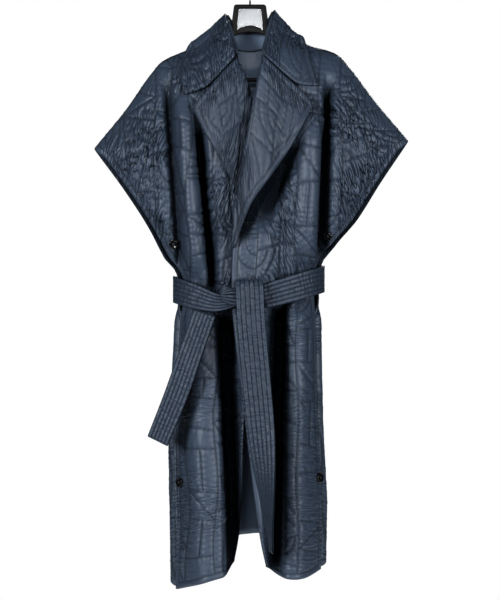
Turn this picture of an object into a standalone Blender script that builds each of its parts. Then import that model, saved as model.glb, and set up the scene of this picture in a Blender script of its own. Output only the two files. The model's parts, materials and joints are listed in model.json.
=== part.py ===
"""Quilted poncho coat with collar, lapels and tie belt, hanging on a plastic hanger.

Metres, +Z up, the coat's front faces -Y and its own left side is at +X.
The origin is where a rail touches the inside of the hanger's hook.
"""
import math

import bmesh
import bpy
import numpy as np

# Cloth
WALL = 0.003
PUFF = 0.004
SEAM_GAP = 0.0004
MERGE = 0.00001
FRONT_INSET = 0.010
DEPTH_POWER = 0.8
LEAST_DEPTH = 0.004
FOLD_SOFT = 0.06
INSET_SOFT = 0.04

# The left front laps over the right one
OVERLAP_LIFT = 0.022
OVERLAP_FROM = 0.075
OVERLAP_SOFT = 0.05
LOW_LIFT = 0.007
LOW_LIFT_Z = -0.92
LOW_LIFT_SOFT = 0.16
UNDER_DROP = 0.006
UNDER_FROM = -0.06
UNDER_SOFT = 0.04

# The back's side edges bend forward below the belt
WRAP_FROM = 0.86
WRAP_BULGE = 0.022
WRAP_BEND = 0.007
WRAP_UNDER = 0.022
WRAP_END = -0.005
WRAP_TOP = -0.670
WRAP_FADE = 0.06

# Grids: two spans of the grid make one quilted patch
FRONT_COLUMNS = 18
BACK_COLUMNS = 28
PANEL_ROWS = 36
FINE_COLUMNS = 240

# Neck and shoulders
NECK_HALF = 0.0735
NECK_BACK = 0.048
NECK_DIP = 0.016
SHOULDER_ROUND = 0.110
BACK_SHOULDER = 0.4167

# Belt
BELT_MIDDLE = -0.0025
BELT_HALF_WIDTH = 0.1552
BELT_FRONT = 0.100
BELT_BACK = 0.098
BELT_POWER = 2.3
BELT_WALL = 0.0035
BELT_RIB = 0.0013
BELT_CHANNELS = 6
BELT_HALF_HEIGHT = 0.0275
BELT_PRESS = 0.024
BELT_ROOM = 0.003
BELT_LAP = 0.018
BELT_LAP_FROM = -0.08
BELT_END_TURN = 8.0
BELT_STEPS = 36

# Buttons
BUTTON_RADIUS = 0.0102
BUTTON_THICK = 0.0032
BUTTON_RIM = 0.0026
BUTTON_EDGE = 0.001
BUTTON_DISH = 0.0008
BUTTON_AROUND = 14
BUTTON_QUARTER = 3

# Hanger
HOOK_WIRE = 0.0017
HOOK_INSIDE = 0.019
HOOK_STEM = 0.006
HOOK_TURNS = (-80.0, 180.0)
HOOK_STEPS = 14
NECK_TOP = -0.060
NECK_BOTTOM = -0.130
NECK_TOP_HALF = 0.034
NECK_BOTTOM_HALF = 0.0425
NECK_DEPTH = 0.012
NECK_BAR = 0.0105
NECK_RAIL = 0.014
NECK_HEAD = 0.008
NECK_CORNER = 0.006
WINDOW_CORNER = 0.004
ARCH_STEPS = 8
ARCH_RISE = 0.012
BAR_Z = -0.218
BAR_HALF_SPAN = 0.158
BAR_END_Z = -0.206
BAR_BEND = 0.014
BAR_RADIUS = 0.0042
PLATE_HALF = 0.0012
PLATE_GAP = 0.0006

# Shoulder line of each side, from the neck to the sleeve tip
RIGHT_SHOULDER = (
    ("u", "out", "z"),
    (1.00, 0.0735, -0.132),
    (0.84, 0.128, -0.157),
    (0.68, 0.186, -0.185),
    (0.60, 0.203, -0.205),
    (0.32, 0.258, -0.283),
    (0.00, 0.3255, -0.365),
)
LEFT_SHOULDER = (
    ("u", "out", "z"),
    (1.00, 0.0735, -0.128),
    (0.84, 0.130, -0.150),
    (0.68, 0.187, -0.172),
    (0.60, 0.206, -0.194),
    (0.32, 0.262, -0.268),
    (0.00, 0.331, -0.349),
)

# Outer edge of each side: sleeve opening, then the side slit down to the hem
RIGHT_EDGE = (
    ("v", "out", "z"),
    (0.00, 0.3255, -0.365),
    (0.16, 0.258, -0.457),
    (0.27, 0.214, -0.525),
    (0.37, 0.180, -0.588),
    (0.46, 0.149, -0.638),
    (0.56, 0.156, -0.743),
    (0.74, 0.169, -0.974),
    (0.91, 0.165, -1.186),
    (1.00, 0.164, -1.284),
)
LEFT_EDGE = (
    ("v", "out", "z"),
    (0.00, 0.331, -0.349),
    (0.16, 0.271, -0.438),
    (0.27, 0.224, -0.512),
    (0.37, 0.177, -0.567),
    (0.46, 0.145, -0.620),
    (0.56, 0.146, -0.737),
    (0.72, 0.150, -0.932),
    (0.87, 0.159, -1.100),
    (1.00, 0.157, -1.242),
)

# Front edge of each front, from the neck down the roll of the lapel to the hem corner
RIGHT_FRONT_EDGE = (
    ("v", "x", "z"),
    (0.00, -0.0735, -0.132),
    (0.06, -0.033, -0.174),
    (0.15, 0.002, -0.285),
    (0.26, 0.012, -0.407),
    (0.41, 0.012, -0.575),
    (0.51, 0.006, -0.680),
    (0.72, -0.011, -0.932),
    (0.96, -0.021, -1.195),
    (1.00, -0.027, -1.228),
)
LEFT_FRONT_EDGE = (
    ("v", "x", "z"),
    (0.00, 0.0735, -0.128),
    (0.06, 0.034, -0.174),
    (0.15, 0.006, -0.285),
    (0.26, -0.0105, -0.407),
    (0.41, -0.036, -0.575),
    (0.50, -0.038, -0.665),
    (0.70, -0.014, -0.900),
    (0.95, 0.024, -1.190),
    (1.00, 0.032, -1.232),
)

# Hems, from the side to the front edge, and the back's from its right to its left
RIGHT_HEM = (
    ("u", "x", "z"),
    (0.00, -0.149, -1.283),
    (0.40, -0.086, -1.261),
    (0.80, -0.042, -1.245),
    (1.00, -0.027, -1.228),
)
LEFT_HEM = (
    ("u", "x", "z"),
    (0.00, 0.147, -1.242),
    (0.30, 0.112, -1.255),
    (0.65, 0.066, -1.253),
    (1.00, 0.032, -1.232),
)
BACK_HEM = (
    ("u", "x", "z"),
    (0.00, -0.164, -1.284),
    (0.25, -0.085, -1.215),
    (0.50, 0.000, -1.178),
    (0.75, 0.085, -1.190),
    (1.00, 0.157, -1.242),
)

# Depth of the coat away from the plane of the hanger
DEPTHS = (
    ("z", "front_edge", "back_edge", "front", "back"),
    (-0.10, 0.006, 0.006, 0.046, 0.046),
    (-0.20, 0.010, 0.010, 0.056, 0.060),
    (-0.32, 0.014, 0.014, 0.064, 0.074),
    (-0.46, 0.016, 0.012, 0.070, 0.080),
    (-0.60, 0.008, -0.002, 0.068, 0.078),
    (-0.70, 0.005, -0.010, 0.068, 0.078),
    (-0.90, 0.005, -0.012, 0.074, 0.090),
    (-1.29, 0.006, -0.012, 0.084, 0.104),
)

# Large folds: ridges stand out, gullies go in; lean carries the fold's foot sideways
RIGHT_FOLDS = (
    ("name", "x_top", "z_top", "x_low", "z_low", "width", "rise", "lean", "fade_top", "fade_low"),
    ("sleeve crease", -0.176, -0.185, -0.140, -0.630, 0.011, -0.024, 0.000, 0.10, 0.05),
    ("chest roll", -0.142, -0.230, -0.114, -0.640, 0.020, 0.024, 0.000, 0.10, 0.06),
    ("chest gully", -0.109, -0.285, -0.073, -0.670, 0.011, -0.055, -0.007, 0.09, 0.03),
    ("skirt roll", -0.112, -0.690, -0.092, -1.400, 0.034, 0.022, 0.000, 0.06, 0.02),
    ("skirt gully", -0.048, -0.690, -0.020, -1.500, 0.017, -0.070, -0.006, 0.05, 0.02),
    ("hip fold", -0.148, -0.700, -0.136, -1.250, 0.012, -0.014, 0.000, 0.10, 0.12),
)
LEFT_FOLDS = (
    ("name", "x_top", "z_top", "x_low", "z_low", "width", "rise", "lean", "fade_top", "fade_low"),
    ("sleeve gully", 0.166, -0.200, 0.149, -0.610, 0.011, -0.045, -0.006, 0.09, 0.05),
    ("chest roll", 0.128, -0.260, 0.118, -0.620, 0.026, 0.022, 0.000, 0.10, 0.06),
    ("lapel gully", 0.104, -0.320, 0.046, -0.560, 0.018, -0.028, 0.000, 0.10, 0.08),
    ("skirt roll", 0.106, -0.670, 0.098, -1.400, 0.034, 0.024, 0.000, 0.06, 0.02),
    ("skirt gully", 0.056, -0.670, 0.050, -1.290, 0.017, -0.070, 0.005, 0.05, 0.12),
)
BACK_FOLDS = (
    ("name", "x_top", "z_top", "x_low", "z_low", "width", "rise", "lean", "fade_top", "fade_low"),
    ("right sleeve crease", -0.180, -0.200, -0.128, -0.640, 0.014, -0.026, 0.000, 0.10, 0.05),
    ("left sleeve crease", 0.182, -0.190, 0.128, -0.620, 0.014, -0.026, 0.000, 0.10, 0.05),
    ("right shoulder roll", -0.100, -0.300, -0.076, -0.620, 0.026, 0.016, 0.000, 0.12, 0.08),
    ("left shoulder roll", 0.104, -0.300, 0.080, -0.620, 0.026, 0.016, 0.000, 0.12, 0.08),
    ("right skirt gully", -0.056, -0.690, -0.062, -1.400, 0.018, -0.040, 0.000, 0.08, 0.02),
    ("middle skirt gully", 0.012, -0.690, 0.006, -1.400, 0.020, -0.030, 0.000, 0.10, 0.02),
    ("left skirt gully", 0.074, -0.690, 0.070, -1.400, 0.018, -0.040, 0.000, 0.08, 0.02),
)

# The belt's middle line across the front, with the half height of the band there
BELT_LINE = (
    ("x", "z", "half"),
    (-0.160, -0.657, 0.0275),
    (-0.110, -0.674, 0.0250),
    (-0.070, -0.685, 0.0190),
    (-0.022, -0.680, 0.0130),
    (0.020, -0.674, 0.0230),
    (0.080, -0.658, 0.0265),
    (0.160, -0.634, 0.0275),
)

# Lapels, from the gorge seam down to the point where the roll starts
RIGHT_LAPEL = (
    ("b", "roll_x", "roll_z", "edge_x", "edge_z", "lift"),
    (0.00, -0.031, -0.1785, -0.120, -0.2800, 0.006),
    (0.30, -0.009, -0.243, -0.094, -0.334, 0.006),
    (0.60, 0.001, -0.304, -0.066, -0.382, 0.006),
    (0.85, -0.003, -0.386, -0.040, -0.430, 0.005),
    (1.00, -0.014, -0.458, -0.022, -0.464, 0.004),
)
LEFT_LAPEL = (
    ("b", "roll_x", "roll_z", "edge_x", "edge_z", "lift"),
    (0.00, 0.032, -0.1785, 0.1345, -0.2730, 0.007),
    (0.22, 0.018, -0.243, 0.112, -0.312, 0.010),
    (0.45, 0.006, -0.306, 0.084, -0.365, 0.011),
    (0.66, -0.009, -0.398, 0.043, -0.426, 0.010),
    (0.85, -0.026, -0.484, 0.000, -0.488, 0.007),
    (1.00, -0.037, -0.572, -0.030, -0.566, 0.006),
)
LAPEL_CROWN = 0.005
LAPEL_PUFF = 0.002
LAPEL_GAP = 0.005
LAPEL_COLUMNS = 8
LAPEL_ROWS = 14

# Collar fall from the right front end round the back to the left front end
COLLAR = (
    ("t", "roll_x", "roll_z", "mid_x", "mid_z", "edge_x", "edge_z"),
    (0.00, -0.031, -0.1745, -0.088, -0.2395, -0.136, -0.254),
    (0.12, -0.039, -0.132, -0.094, -0.184, -0.147, -0.200),
    (0.25, -0.052, -0.080, -0.091, -0.115, -0.136, -0.150),
    (0.38, -0.035, -0.110, -0.085, -0.171, -0.120, -0.209),
    (0.50, 0.000, -0.125, 0.000, -0.171, 0.000, -0.212),
    (0.62, 0.035, -0.107, 0.086, -0.166, 0.122, -0.202),
    (0.75, 0.052, -0.072, 0.092, -0.116, 0.142, -0.144),
    (0.88, 0.040, -0.126, 0.094, -0.172, 0.136, -0.186),
    (1.00, 0.032, -0.1745, 0.098, -0.2350, 0.143, -0.235),
)
COLLAR_ROWS = 32
COLLAR_CROWD = 0.028
COLLAR_COLUMNS = 8
COLLAR_MID = 0.62
COLLAR_LIFT = 0.014
COLLAR_GAP = 0.014
COLLAR_BACK_GAP = 0.024
COLLAR_SPARE = (0.070, 0.022, 0.012)
COLLAR_SIDE = 0.25
COLLAR_TURN = 0.10
COLLAR_CLEAR = 0.028
COLLAR_SOFT = 0.02

# Collar stand: its neck edge and its top edge
STAND = (
    ("t", "low_x", "low_y", "low_z", "top_x", "top_y", "top_z"),
    (0.00, -0.025, -0.034, -0.168, -0.024, -0.034, -0.160),
    (0.15, -0.046, -0.016, -0.142, -0.034, -0.012, -0.122),
    (0.28, -0.061, 0.000, -0.124, -0.042, 0.000, -0.094),
    (0.40, -0.040, 0.030, -0.135, -0.028, 0.020, -0.120),
    (0.50, 0.000, 0.040, -0.142, 0.000, 0.026, -0.132),
    (0.60, 0.040, 0.030, -0.133, 0.028, 0.020, -0.117),
    (0.72, 0.061, 0.000, -0.120, 0.042, 0.000, -0.087),
    (0.85, 0.046, -0.016, -0.140, 0.034, -0.012, -0.118),
    (1.00, 0.025, -0.034, -0.168, 0.024, -0.034, -0.160),
)
STAND_ROWS = 28
STAND_WALL = 0.002

# Belt ends: the middle line of each tail, its width and how far it is turned
LONG_TAIL = (
    ("s", "x", "y", "z", "width", "turn"),
    (0.00, -0.003, -0.1080, -0.6455, 0.053, 0),
    (0.02, -0.002, -0.1170, -0.6430, 0.055, 0),
    (0.05, -0.001, -0.1240, -0.652, 0.057, 0),
    (0.14, 0.001, -0.1270, -0.700, 0.058, 0),
    (0.40, 0.014, -0.1290, -0.850, 0.058, 4),
    (0.62, 0.025, -0.1300, -0.960, 0.057, 20),
    (0.78, 0.033, -0.1310, -1.050, 0.056, 48),
    (0.92, 0.041, -0.1310, -1.140, 0.052, 74),
    (1.00, 0.045, -0.1300, -1.196, 0.040, 82),
)
SHORT_TAIL = (
    ("s", "x", "y", "z", "width", "turn"),
    (0.00, -0.092, -0.0955, -0.7070, 0.050, 18),
    (0.30, -0.121, -0.1040, -0.790, 0.051, 20),
    (0.65, -0.151, -0.0980, -0.875, 0.051, 20),
    (1.00, -0.190, -0.0860, -0.971, 0.048, 22),
)
TAIL_STEPS = 16
TAIL_WALL = 0.0032

# Knot: the turn of the belt that the long tail falls over
KNOT = (
    ("s", "x", "y", "z", "half_y", "half_z"),
    (0.00, -0.060, -0.1065, -0.671, 0.0030, 0.0090),
    (0.30, -0.036, -0.1130, -0.673, 0.0045, 0.0185),
    (0.60, -0.004, -0.1140, -0.673, 0.0045, 0.0180),
    (1.00, 0.028, -0.1120, -0.673, 0.0035, 0.0175),
)
KNOT_STEPS = 8
KNOT_AROUND = 12

# Buttons on the fronts' side edges: x and z of the middle
BUTTONS = (
    ("name", "x", "z"),
    ("button_right_upper", -0.1628, -0.562),
    ("button_right_lower", -0.1400, -1.060),
    ("button_left_upper", 0.1680, -0.545),
    ("button_left_lower", 0.1400, -1.050),
)

# Hanger arm: distance out, height of its middle, and the half sizes of its section
HANGER_ARM = (
    ("out", "z", "half_y", "half_z"),
    (0.032, -0.124, 0.0055, 0.0060),
    (0.060, -0.145, 0.008, 0.0065),
    (0.110, -0.176, 0.013, 0.0080),
    (0.150, -0.199, 0.018, 0.0095),
    (0.174, -0.215, 0.019, 0.0095),
)
ARM_AROUND = 12

# Colours
NAVY = (0.040, 0.056, 0.082)
LINING = (0.055, 0.075, 0.105)
BLACK = (0.008, 0.008, 0.009)
STEEL = (0.62, 0.62, 0.64)
CLEAR = (0.82, 0.86, 0.90)


def column(table, name):
    """Values of a named column; a table's first row holds the names."""
    place = table[0].index(name)
    return np.array([row[place] for row in table[1:]])


def spline(keys, values, at):
    """Smooth curve through the values at rising keys."""
    keys = np.asarray(keys, float)
    values = np.asarray(values, float)
    slope = np.gradient(values, keys)
    at = np.asarray(at, float)
    i = np.clip(np.searchsorted(keys, at, side="right") - 1, 0, len(keys) - 2)
    span = keys[i + 1] - keys[i]
    t = np.clip((at - keys[i]) / span, 0.0, 1.0)
    start = (1 + 2 * t) * (1 - t) ** 2 * values[i] + t * (1 - t) ** 2 * span * slope[i]
    end = t * t * (3 - 2 * t) * values[i + 1] + t * t * (t - 1) * span * slope[i + 1]
    return start + end


def along(table, key, names, at):
    """Smooth curves through several columns of a table, side by side."""
    keys = column(table, key)
    order = np.argsort(keys)
    return np.stack([spline(keys[order], column(table, n)[order], at) for n in names], axis=-1)


def smooth(t):
    t = np.clip(t, 0.0, 1.0)
    return t * t * (3 - 2 * t)


def reach(sign, z):
    """Half width of the coat on one side at a height."""
    shoulder, edge = (RIGHT_SHOULDER, RIGHT_EDGE) if sign < 0 else (LEFT_SHOULDER, LEFT_EDGE)
    heights = np.concatenate([column(shoulder, "z"), column(edge, "z")[1:]])
    outs = np.concatenate([column(shoulder, "out"), column(edge, "out")[1:]])
    return np.interp(-z, -heights, outs)


def shoulder_height(sign, x, dip):
    """Height of the shoulder line above a point; inside the neck the line dips."""
    table = RIGHT_SHOULDER if sign < 0 else LEFT_SHOULDER
    out = np.abs(x)
    line = np.interp(out, column(table, "out"), column(table, "z"))
    inside = column(table, "z")[0] - dip * (1 - np.clip(out / NECK_HALF, 0, 1) ** 2)
    return np.where(out < NECK_HALF, inside, line)


def fold_shift(folds, x, z):
    """How far the folds bring the cloth out, and how far they carry it sideways."""
    rise = np.zeros_like(x)
    side = np.zeros_like(x)
    for fold in folds[1:]:
        row = dict(zip(folds[0], fold))
        t = (z - row["z_top"]) / (row["z_low"] - row["z_top"])
        middle = row["x_top"] + t * (row["x_low"] - row["x_top"])
        fade = smooth((row["z_top"] - z) / row["fade_top"]) * smooth((z - row["z_low"]) / row["fade_low"])
        shape = fade * np.exp(-((x - middle) / row["width"]) ** 2)
        rise += row["rise"] * shape
        side += row["lean"] * shape
    return rise, side


def belt_reach(x, half_depth):
    """Distance of the belt's inside from the hanger's plane."""
    share = np.clip(np.abs(x - BELT_MIDDLE) / BELT_HALF_WIDTH, 0, 1)
    return half_depth * (1 - share ** BELT_POWER) ** (1 / BELT_POWER)


def belt_height(x, face):
    """Height of the belt's middle and its half height."""
    places = column(BELT_LINE, "x")
    x = np.clip(x, places[0], places[-1])
    if face == "back":
        heights = column(BELT_LINE, "z")
        return np.interp(x, places[[0, -1]], heights[[0, -1]]), np.full_like(x, BELT_HALF_HEIGHT)
    band = along(BELT_LINE, "x", ("z", "half"), x)
    return band[..., 0], band[..., 1]


def side_of(panel, x):
    if panel == "right":
        return np.full_like(x, -1.0)
    if panel == "left":
        return np.full_like(x, 1.0)
    return np.where(x < 0, -1.0, 1.0)


def by_side(panel, x, function):
    """A value that has its own table on each side of the coat."""
    side = side_of(panel, x)
    return np.where(side < 0, function(-1), function(1))


def body_depth(panel, x, z):
    """Depth of a panel without its folds and without the rounding over the shoulder."""
    face = "back" if panel == "back" else "front"
    depths = along(DEPTHS, "z", (face + "_edge", face), z)
    share = np.clip(np.abs(x) / by_side(panel, x, lambda s: reach(s, z)), 0, 1)
    return depths[..., 0] + (depths[..., 1] - depths[..., 0]) * (1 - share ** 2) ** DEPTH_POWER


def drop_below_shoulder(panel, x, z):
    dip = NECK_DIP if panel == "back" else 0.0
    return by_side(panel, x, lambda s: shoulder_height(s, x, dip)) - z


def plain_depth(panel, x, z):
    """Depth of a panel without its folds."""
    fall = drop_below_shoulder(panel, x, z)
    round_top = np.sqrt(1 - (1 - np.clip(fall / SHOULDER_ROUND, 0, 1)) ** 2)
    depth = body_depth(panel, x, z) * round_top
    if panel == "back":
        neck = NECK_BACK * np.sqrt(np.clip(1 - (x / NECK_HALF) ** 2, 0, 1))
        depth = np.where(np.abs(x) < NECK_HALF, np.maximum(depth, neck), depth)
    if panel == "left":
        lift = LOW_LIFT + (OVERLAP_LIFT - LOW_LIFT) * smooth((z - LOW_LIFT_Z) / LOW_LIFT_SOFT)
        depth = depth + lift * smooth((OVERLAP_FROM - x) / OVERLAP_SOFT) * smooth(fall / OVERLAP_SOFT)
    if panel == "right":
        depth = depth - UNDER_DROP * smooth((x - UNDER_FROM) / UNDER_SOFT) * smooth(fall / OVERLAP_SOFT)
    return depth


def press_under_belt(panel, x, z, depth):
    """Cloth under the belt lies within it."""
    face = "back" if panel == "back" else "front"
    half_depth = BELT_BACK if panel == "back" else BELT_FRONT
    middle, half = belt_height(x, face)
    weight = smooth((half + BELT_PRESS - np.abs(z - middle)) / BELT_PRESS)
    room = WALL + PUFF + BELT_ROOM
    if panel == "right":
        room = room + BELT_LAP * smooth((x - BELT_LAP_FROM) / OVERLAP_SOFT)
    limit = belt_reach(x, half_depth) - room
    return depth + weight * (np.minimum(depth, limit) - depth)


FOLDS = {"right": RIGHT_FOLDS, "left": LEFT_FOLDS, "back": BACK_FOLDS}


def wrap_side(x, depth, z):
    """Bend the back's side edges forward below the belt, to lie under the fronts' edges."""
    sign = np.where(x < 0, -1.0, 1.0)
    wide = np.where(x < 0, reach(-1, z), reach(1, z))
    start = WRAP_FROM * wide
    share = np.clip((np.abs(x) - start) / (wide - start), 0, 1)
    begin = np.where(share > 0, plain_depth("back", sign * start, z), depth)
    first = (1 - share) ** 2
    second = 2 * share * (1 - share)
    third = share ** 2
    out = first * start + second * (wide + WRAP_BULGE) + third * (wide - WRAP_UNDER)
    deep = first * begin + second * WRAP_BEND + third * WRAP_END
    weight = smooth((WRAP_TOP - z) / WRAP_FADE) * (share > 0)
    return x + weight * (sign * out - x), depth + weight * (deep - depth)


def draped(panel, x, z):
    """Points of a panel's inside where the flat view shows x and z."""
    rise, side = fold_shift(FOLDS[panel], x, z)
    plain = plain_depth(panel, x, z)
    fall = by_side(panel, x, lambda s: shoulder_height(s, x, 0.0)) - z
    depth = plain + rise * smooth(fall / FOLD_SOFT)
    depth = press_under_belt(panel, x, z, depth)
    depth = np.maximum(depth, np.minimum(plain, LEAST_DEPTH))
    if panel == "back":
        x, depth = wrap_side(x, depth, z)
    y = depth + SEAM_GAP
    return np.stack([x + side, y if panel == "back" else -y, z], axis=-1)


def flat_points(panel, u, v):
    """Places inside the four edges of a panel as seen from the front."""
    if panel == "back":
        right = along(RIGHT_SHOULDER, "u", ("out", "z"), np.clip(u / BACK_SHOULDER, 0, 1)) * (-1, 1)
        left = along(LEFT_SHOULDER, "u", ("out", "z"), np.clip((1 - u) / BACK_SHOULDER, 0, 1))
        share = np.clip((u - BACK_SHOULDER) / (1 - 2 * BACK_SHOULDER), 0, 1)[:, None]
        neck = right * (1 - share) + left * share
        neck[:, 1] -= NECK_DIP * 4 * share[:, 0] * (1 - share[:, 0])
        top = np.where(share <= 0, right, np.where(share >= 1, left, neck))
        bottom = along(BACK_HEM, "u", ("x", "z"), u)
        start = along(RIGHT_EDGE, "v", ("out", "z"), v) * (-1, 1)
        end = along(LEFT_EDGE, "v", ("out", "z"), v)
    else:
        sign = -1 if panel == "right" else 1
        shoulder = RIGHT_SHOULDER if panel == "right" else LEFT_SHOULDER
        edge = RIGHT_EDGE if panel == "right" else LEFT_EDGE
        inset = FRONT_INSET * smooth(v / INSET_SOFT)
        top = along(shoulder, "u", ("out", "z"), u) * (sign, 1)
        bottom = along(RIGHT_HEM if panel == "right" else LEFT_HEM, "u", ("x", "z"), u)
        start = along(edge, "v", ("out", "z"), v)
        start[:, 0] -= inset
        start = start * (sign, 1)
        end = along(RIGHT_FRONT_EDGE if panel == "right" else LEFT_FRONT_EDGE, "v", ("x", "z"), v)
        bottom[0] = start[-1]
    u = u[None, :, None]
    v = v[:, None, None]
    upper = (1 - u) * top[0] + u * top[-1]
    lower = (1 - u) * bottom[0] + u * bottom[-1]
    between = (1 - u) * start[:, None] + u * end[:, None]
    return (1 - v) * (top[None] - upper) + v * (bottom[None] - lower) + between


def even_rows(points, columns):
    """Each row of points again, at even steps along the cloth."""
    rows = []
    for row in points:
        steps = np.linalg.norm(np.diff(row, axis=0), axis=1)
        length = np.concatenate([[0.0], np.cumsum(steps)])
        at = np.linspace(0.0, length[-1], columns + 1)
        rows.append(np.stack([np.interp(at, length, row[:, k]) for k in range(3)], axis=-1))
    return np.array(rows)


def panel_grid(panel, columns, rows):
    """Inside of a panel as a grid, rows down from the shoulder, columns along the cloth."""
    u = np.linspace(0.0, 1.0, FINE_COLUMNS + 1)
    v = np.linspace(0.0, 1.0, rows + 1)
    flat = flat_points(panel, u, v)
    return even_rows(draped(panel, flat[..., 0], flat[..., 1]), columns)


def grid_normals(grid, outward):
    """Unit normals of a grid, turned to the side that outward names."""
    across = np.gradient(grid, axis=1)
    down = np.gradient(grid, axis=0)
    normal = np.cross(across, down) * outward
    return normal / np.linalg.norm(normal, axis=-1, keepdims=True)


def quilt_puff(rows, columns):
    """One inside the patches, nought on the quilting lines between them."""
    j = np.arange(rows + 1)[:, None] % 2
    i = np.arange(columns + 1)[None, :] % 2
    return (i * j).astype(float)


def material(name, colour, roughness, metallic=0.0):
    made = bpy.data.materials.get(name)
    if made:
        return made
    made = bpy.data.materials.new(name)
    made.use_nodes = True
    shader = made.node_tree.nodes["Principled BSDF"]
    shader.inputs["Base Color"].default_value = (*colour, 1.0)
    shader.inputs["Roughness"].default_value = roughness
    shader.inputs["Metallic"].default_value = metallic
    return made


def add_object(name, bm, surface):
    bmesh.ops.recalc_face_normals(bm, faces=bm.faces)
    mesh = bpy.data.meshes.new(name)
    bm.to_mesh(mesh)
    bm.free()
    mesh.materials.append(surface)
    made = bpy.data.objects.new(name, mesh)
    bpy.context.collection.objects.link(made)
    return made


def add_wall(name, inner, outer, surface):
    """A closed wall between two grids of the same size."""
    bm = bmesh.new()
    near = [[bm.verts.new(p) for p in row] for row in inner]
    far = [[bm.verts.new(p) for p in row] for row in outer]
    rows = len(near) - 1
    columns = len(near[0]) - 1
    for j in range(rows):
        for i in range(columns):
            bm.faces.new((near[j][i], near[j][i + 1], near[j + 1][i + 1], near[j + 1][i]))
            bm.faces.new((far[j][i], far[j + 1][i], far[j + 1][i + 1], far[j][i + 1]))
    for i in range(columns):
        bm.faces.new((near[0][i], far[0][i], far[0][i + 1], near[0][i + 1]))
        bm.faces.new((near[rows][i], near[rows][i + 1], far[rows][i + 1], far[rows][i]))
    for j in range(rows):
        bm.faces.new((near[j][0], near[j + 1][0], far[j + 1][0], far[j][0]))
        bm.faces.new((near[j][columns], far[j][columns], far[j + 1][columns], near[j + 1][columns]))
    return add_object(name, bm, surface)


def add_panel(name, panel, columns, surface):
    """A quilted panel: plain inside, patches raised outside."""
    grid = panel_grid(panel, columns, PANEL_ROWS)
    outward = {"right": -1.0, "left": 1.0, "back": 1.0}[panel]
    normals = grid_normals(grid, outward)
    normals[0, :, 1] = 0.0
    normals[0] /= np.linalg.norm(normals[0], axis=-1, keepdims=True)
    raised = WALL + PUFF * quilt_puff(PANEL_ROWS, columns)
    return add_wall(name, grid, grid + normals * raised[..., None], surface)


def cloth_top(panel, x, z):
    """Depth of a panel's outside without its gullies."""
    rise, _ = fold_shift(FOLDS[panel], x, z)
    depth = plain_depth(panel, x, z) + np.maximum(rise, 0.0)
    return press_under_belt(panel, x, z, depth) + WALL + PUFF


def add_lapel(name, panel, table, surface):
    """A lapel turned back over its front, made from the front's points moved out."""
    a = np.linspace(0.0, 1.0, LAPEL_COLUMNS + 1)[None, :]
    b = np.linspace(0.0, 1.0, LAPEL_ROWS + 1)
    rows = along(table, "b", ("roll_x", "roll_z", "edge_x", "edge_z", "lift"), b)
    x = rows[:, 0:1] * (1 - a) + rows[:, 2:3] * a
    z = rows[:, 1:2] * (1 - a) + rows[:, 3:4] * a
    crown = LAPEL_CROWN * np.sin(np.pi * a) * (1 - b[:, None] ** 3)
    depth = cloth_top(panel, x, z) + LAPEL_GAP + crown + rows[:, 4:5] * smooth(a)
    grid = np.stack([x, -depth, z], axis=-1)
    return add_turned_back(name, grid, 1.0 if panel == "right" else -1.0, surface)


def add_turned_back(name, grid, outward, surface):
    """Cloth that lies turned back on other cloth: plain beneath, patches raised on top."""
    rows, columns = grid.shape[:2]
    normals = grid_normals(grid, outward)
    raised = LAPEL_PUFF * quilt_puff(rows - 1, columns - 1)
    return add_wall(name, grid - normals * WALL, grid + normals * raised[..., None], surface)


def collar_grid(rows, columns):
    """Inside of the collar fall, round the neck and down from the roll to its outer edge."""
    t = np.linspace(0.0, 1.0, rows + 1)
    t = t + COLLAR_CROWD * np.sin(4 * np.pi * t)
    c = np.linspace(0.0, 1.0, columns + 1)
    stations = along(COLLAR, "t", ("roll_x", "roll_z", "mid_x", "mid_z", "edge_x", "edge_z"), t)
    keys = (0.0, COLLAR_MID, 1.0)
    grid = np.zeros((rows + 1, columns + 1, 3))
    for j, row in enumerate(stations):
        x = np.interp(c, keys, row[0::2])
        z = np.interp(c, keys, row[1::2])
        from_middle = abs(t[j] - 0.5)
        back = from_middle < COLLAR_SIDE
        panel = "back" if back else ("right" if t[j] < 0.5 else "left")
        fall = drop_below_shoulder(panel, x, z)
        spare = np.interp(c, keys, COLLAR_SPARE)
        tall = SHOULDER_ROUND + spare
        rise = np.sqrt(1 - np.clip((SHOULDER_ROUND - fall) / tall, 0, 1) ** 2)
        turn = np.clip(abs(from_middle - COLLAR_SIDE) / COLLAR_TURN, 0, 1)
        depth = (body_depth(panel, x, z) + COLLAR_LIFT) * rise * np.sin(0.5 * np.pi * turn)
        if turn > 0:
            gap = COLLAR_BACK_GAP if back else COLLAR_GAP
            cloth = plain_depth(panel, x, np.minimum(z, z + fall)) + gap
            depth = np.maximum(depth, cloth * smooth((fall + COLLAR_CLEAR) / COLLAR_SOFT))
        grid[j] = np.stack([x, depth if back else -depth, z], axis=-1)
    return grid


def add_collar(name, surface):
    return add_turned_back(name, collar_grid(COLLAR_ROWS, COLLAR_COLUMNS), -1.0, surface)


def add_stand(name, surface):
    t = np.linspace(0.0, 1.0, STAND_ROWS + 1)
    low = along(STAND, "t", ("low_x", "low_y", "low_z"), t)
    top = along(STAND, "t", ("top_x", "top_y", "top_z"), t)
    grid = np.stack([low, 0.5 * (low + top), top], axis=1)
    normals = grid_normals(grid, 1.0)
    return add_wall(name, grid, grid + normals * STAND_WALL, surface)


def ribbed_section():
    """Outside of the belt across its width: share of the width, and rib height."""
    count = 2 * BELT_CHANNELS
    share = np.linspace(-1.0, 1.0, count + 1)
    return share, BELT_RIB * (np.arange(count + 1) % 2)


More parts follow.
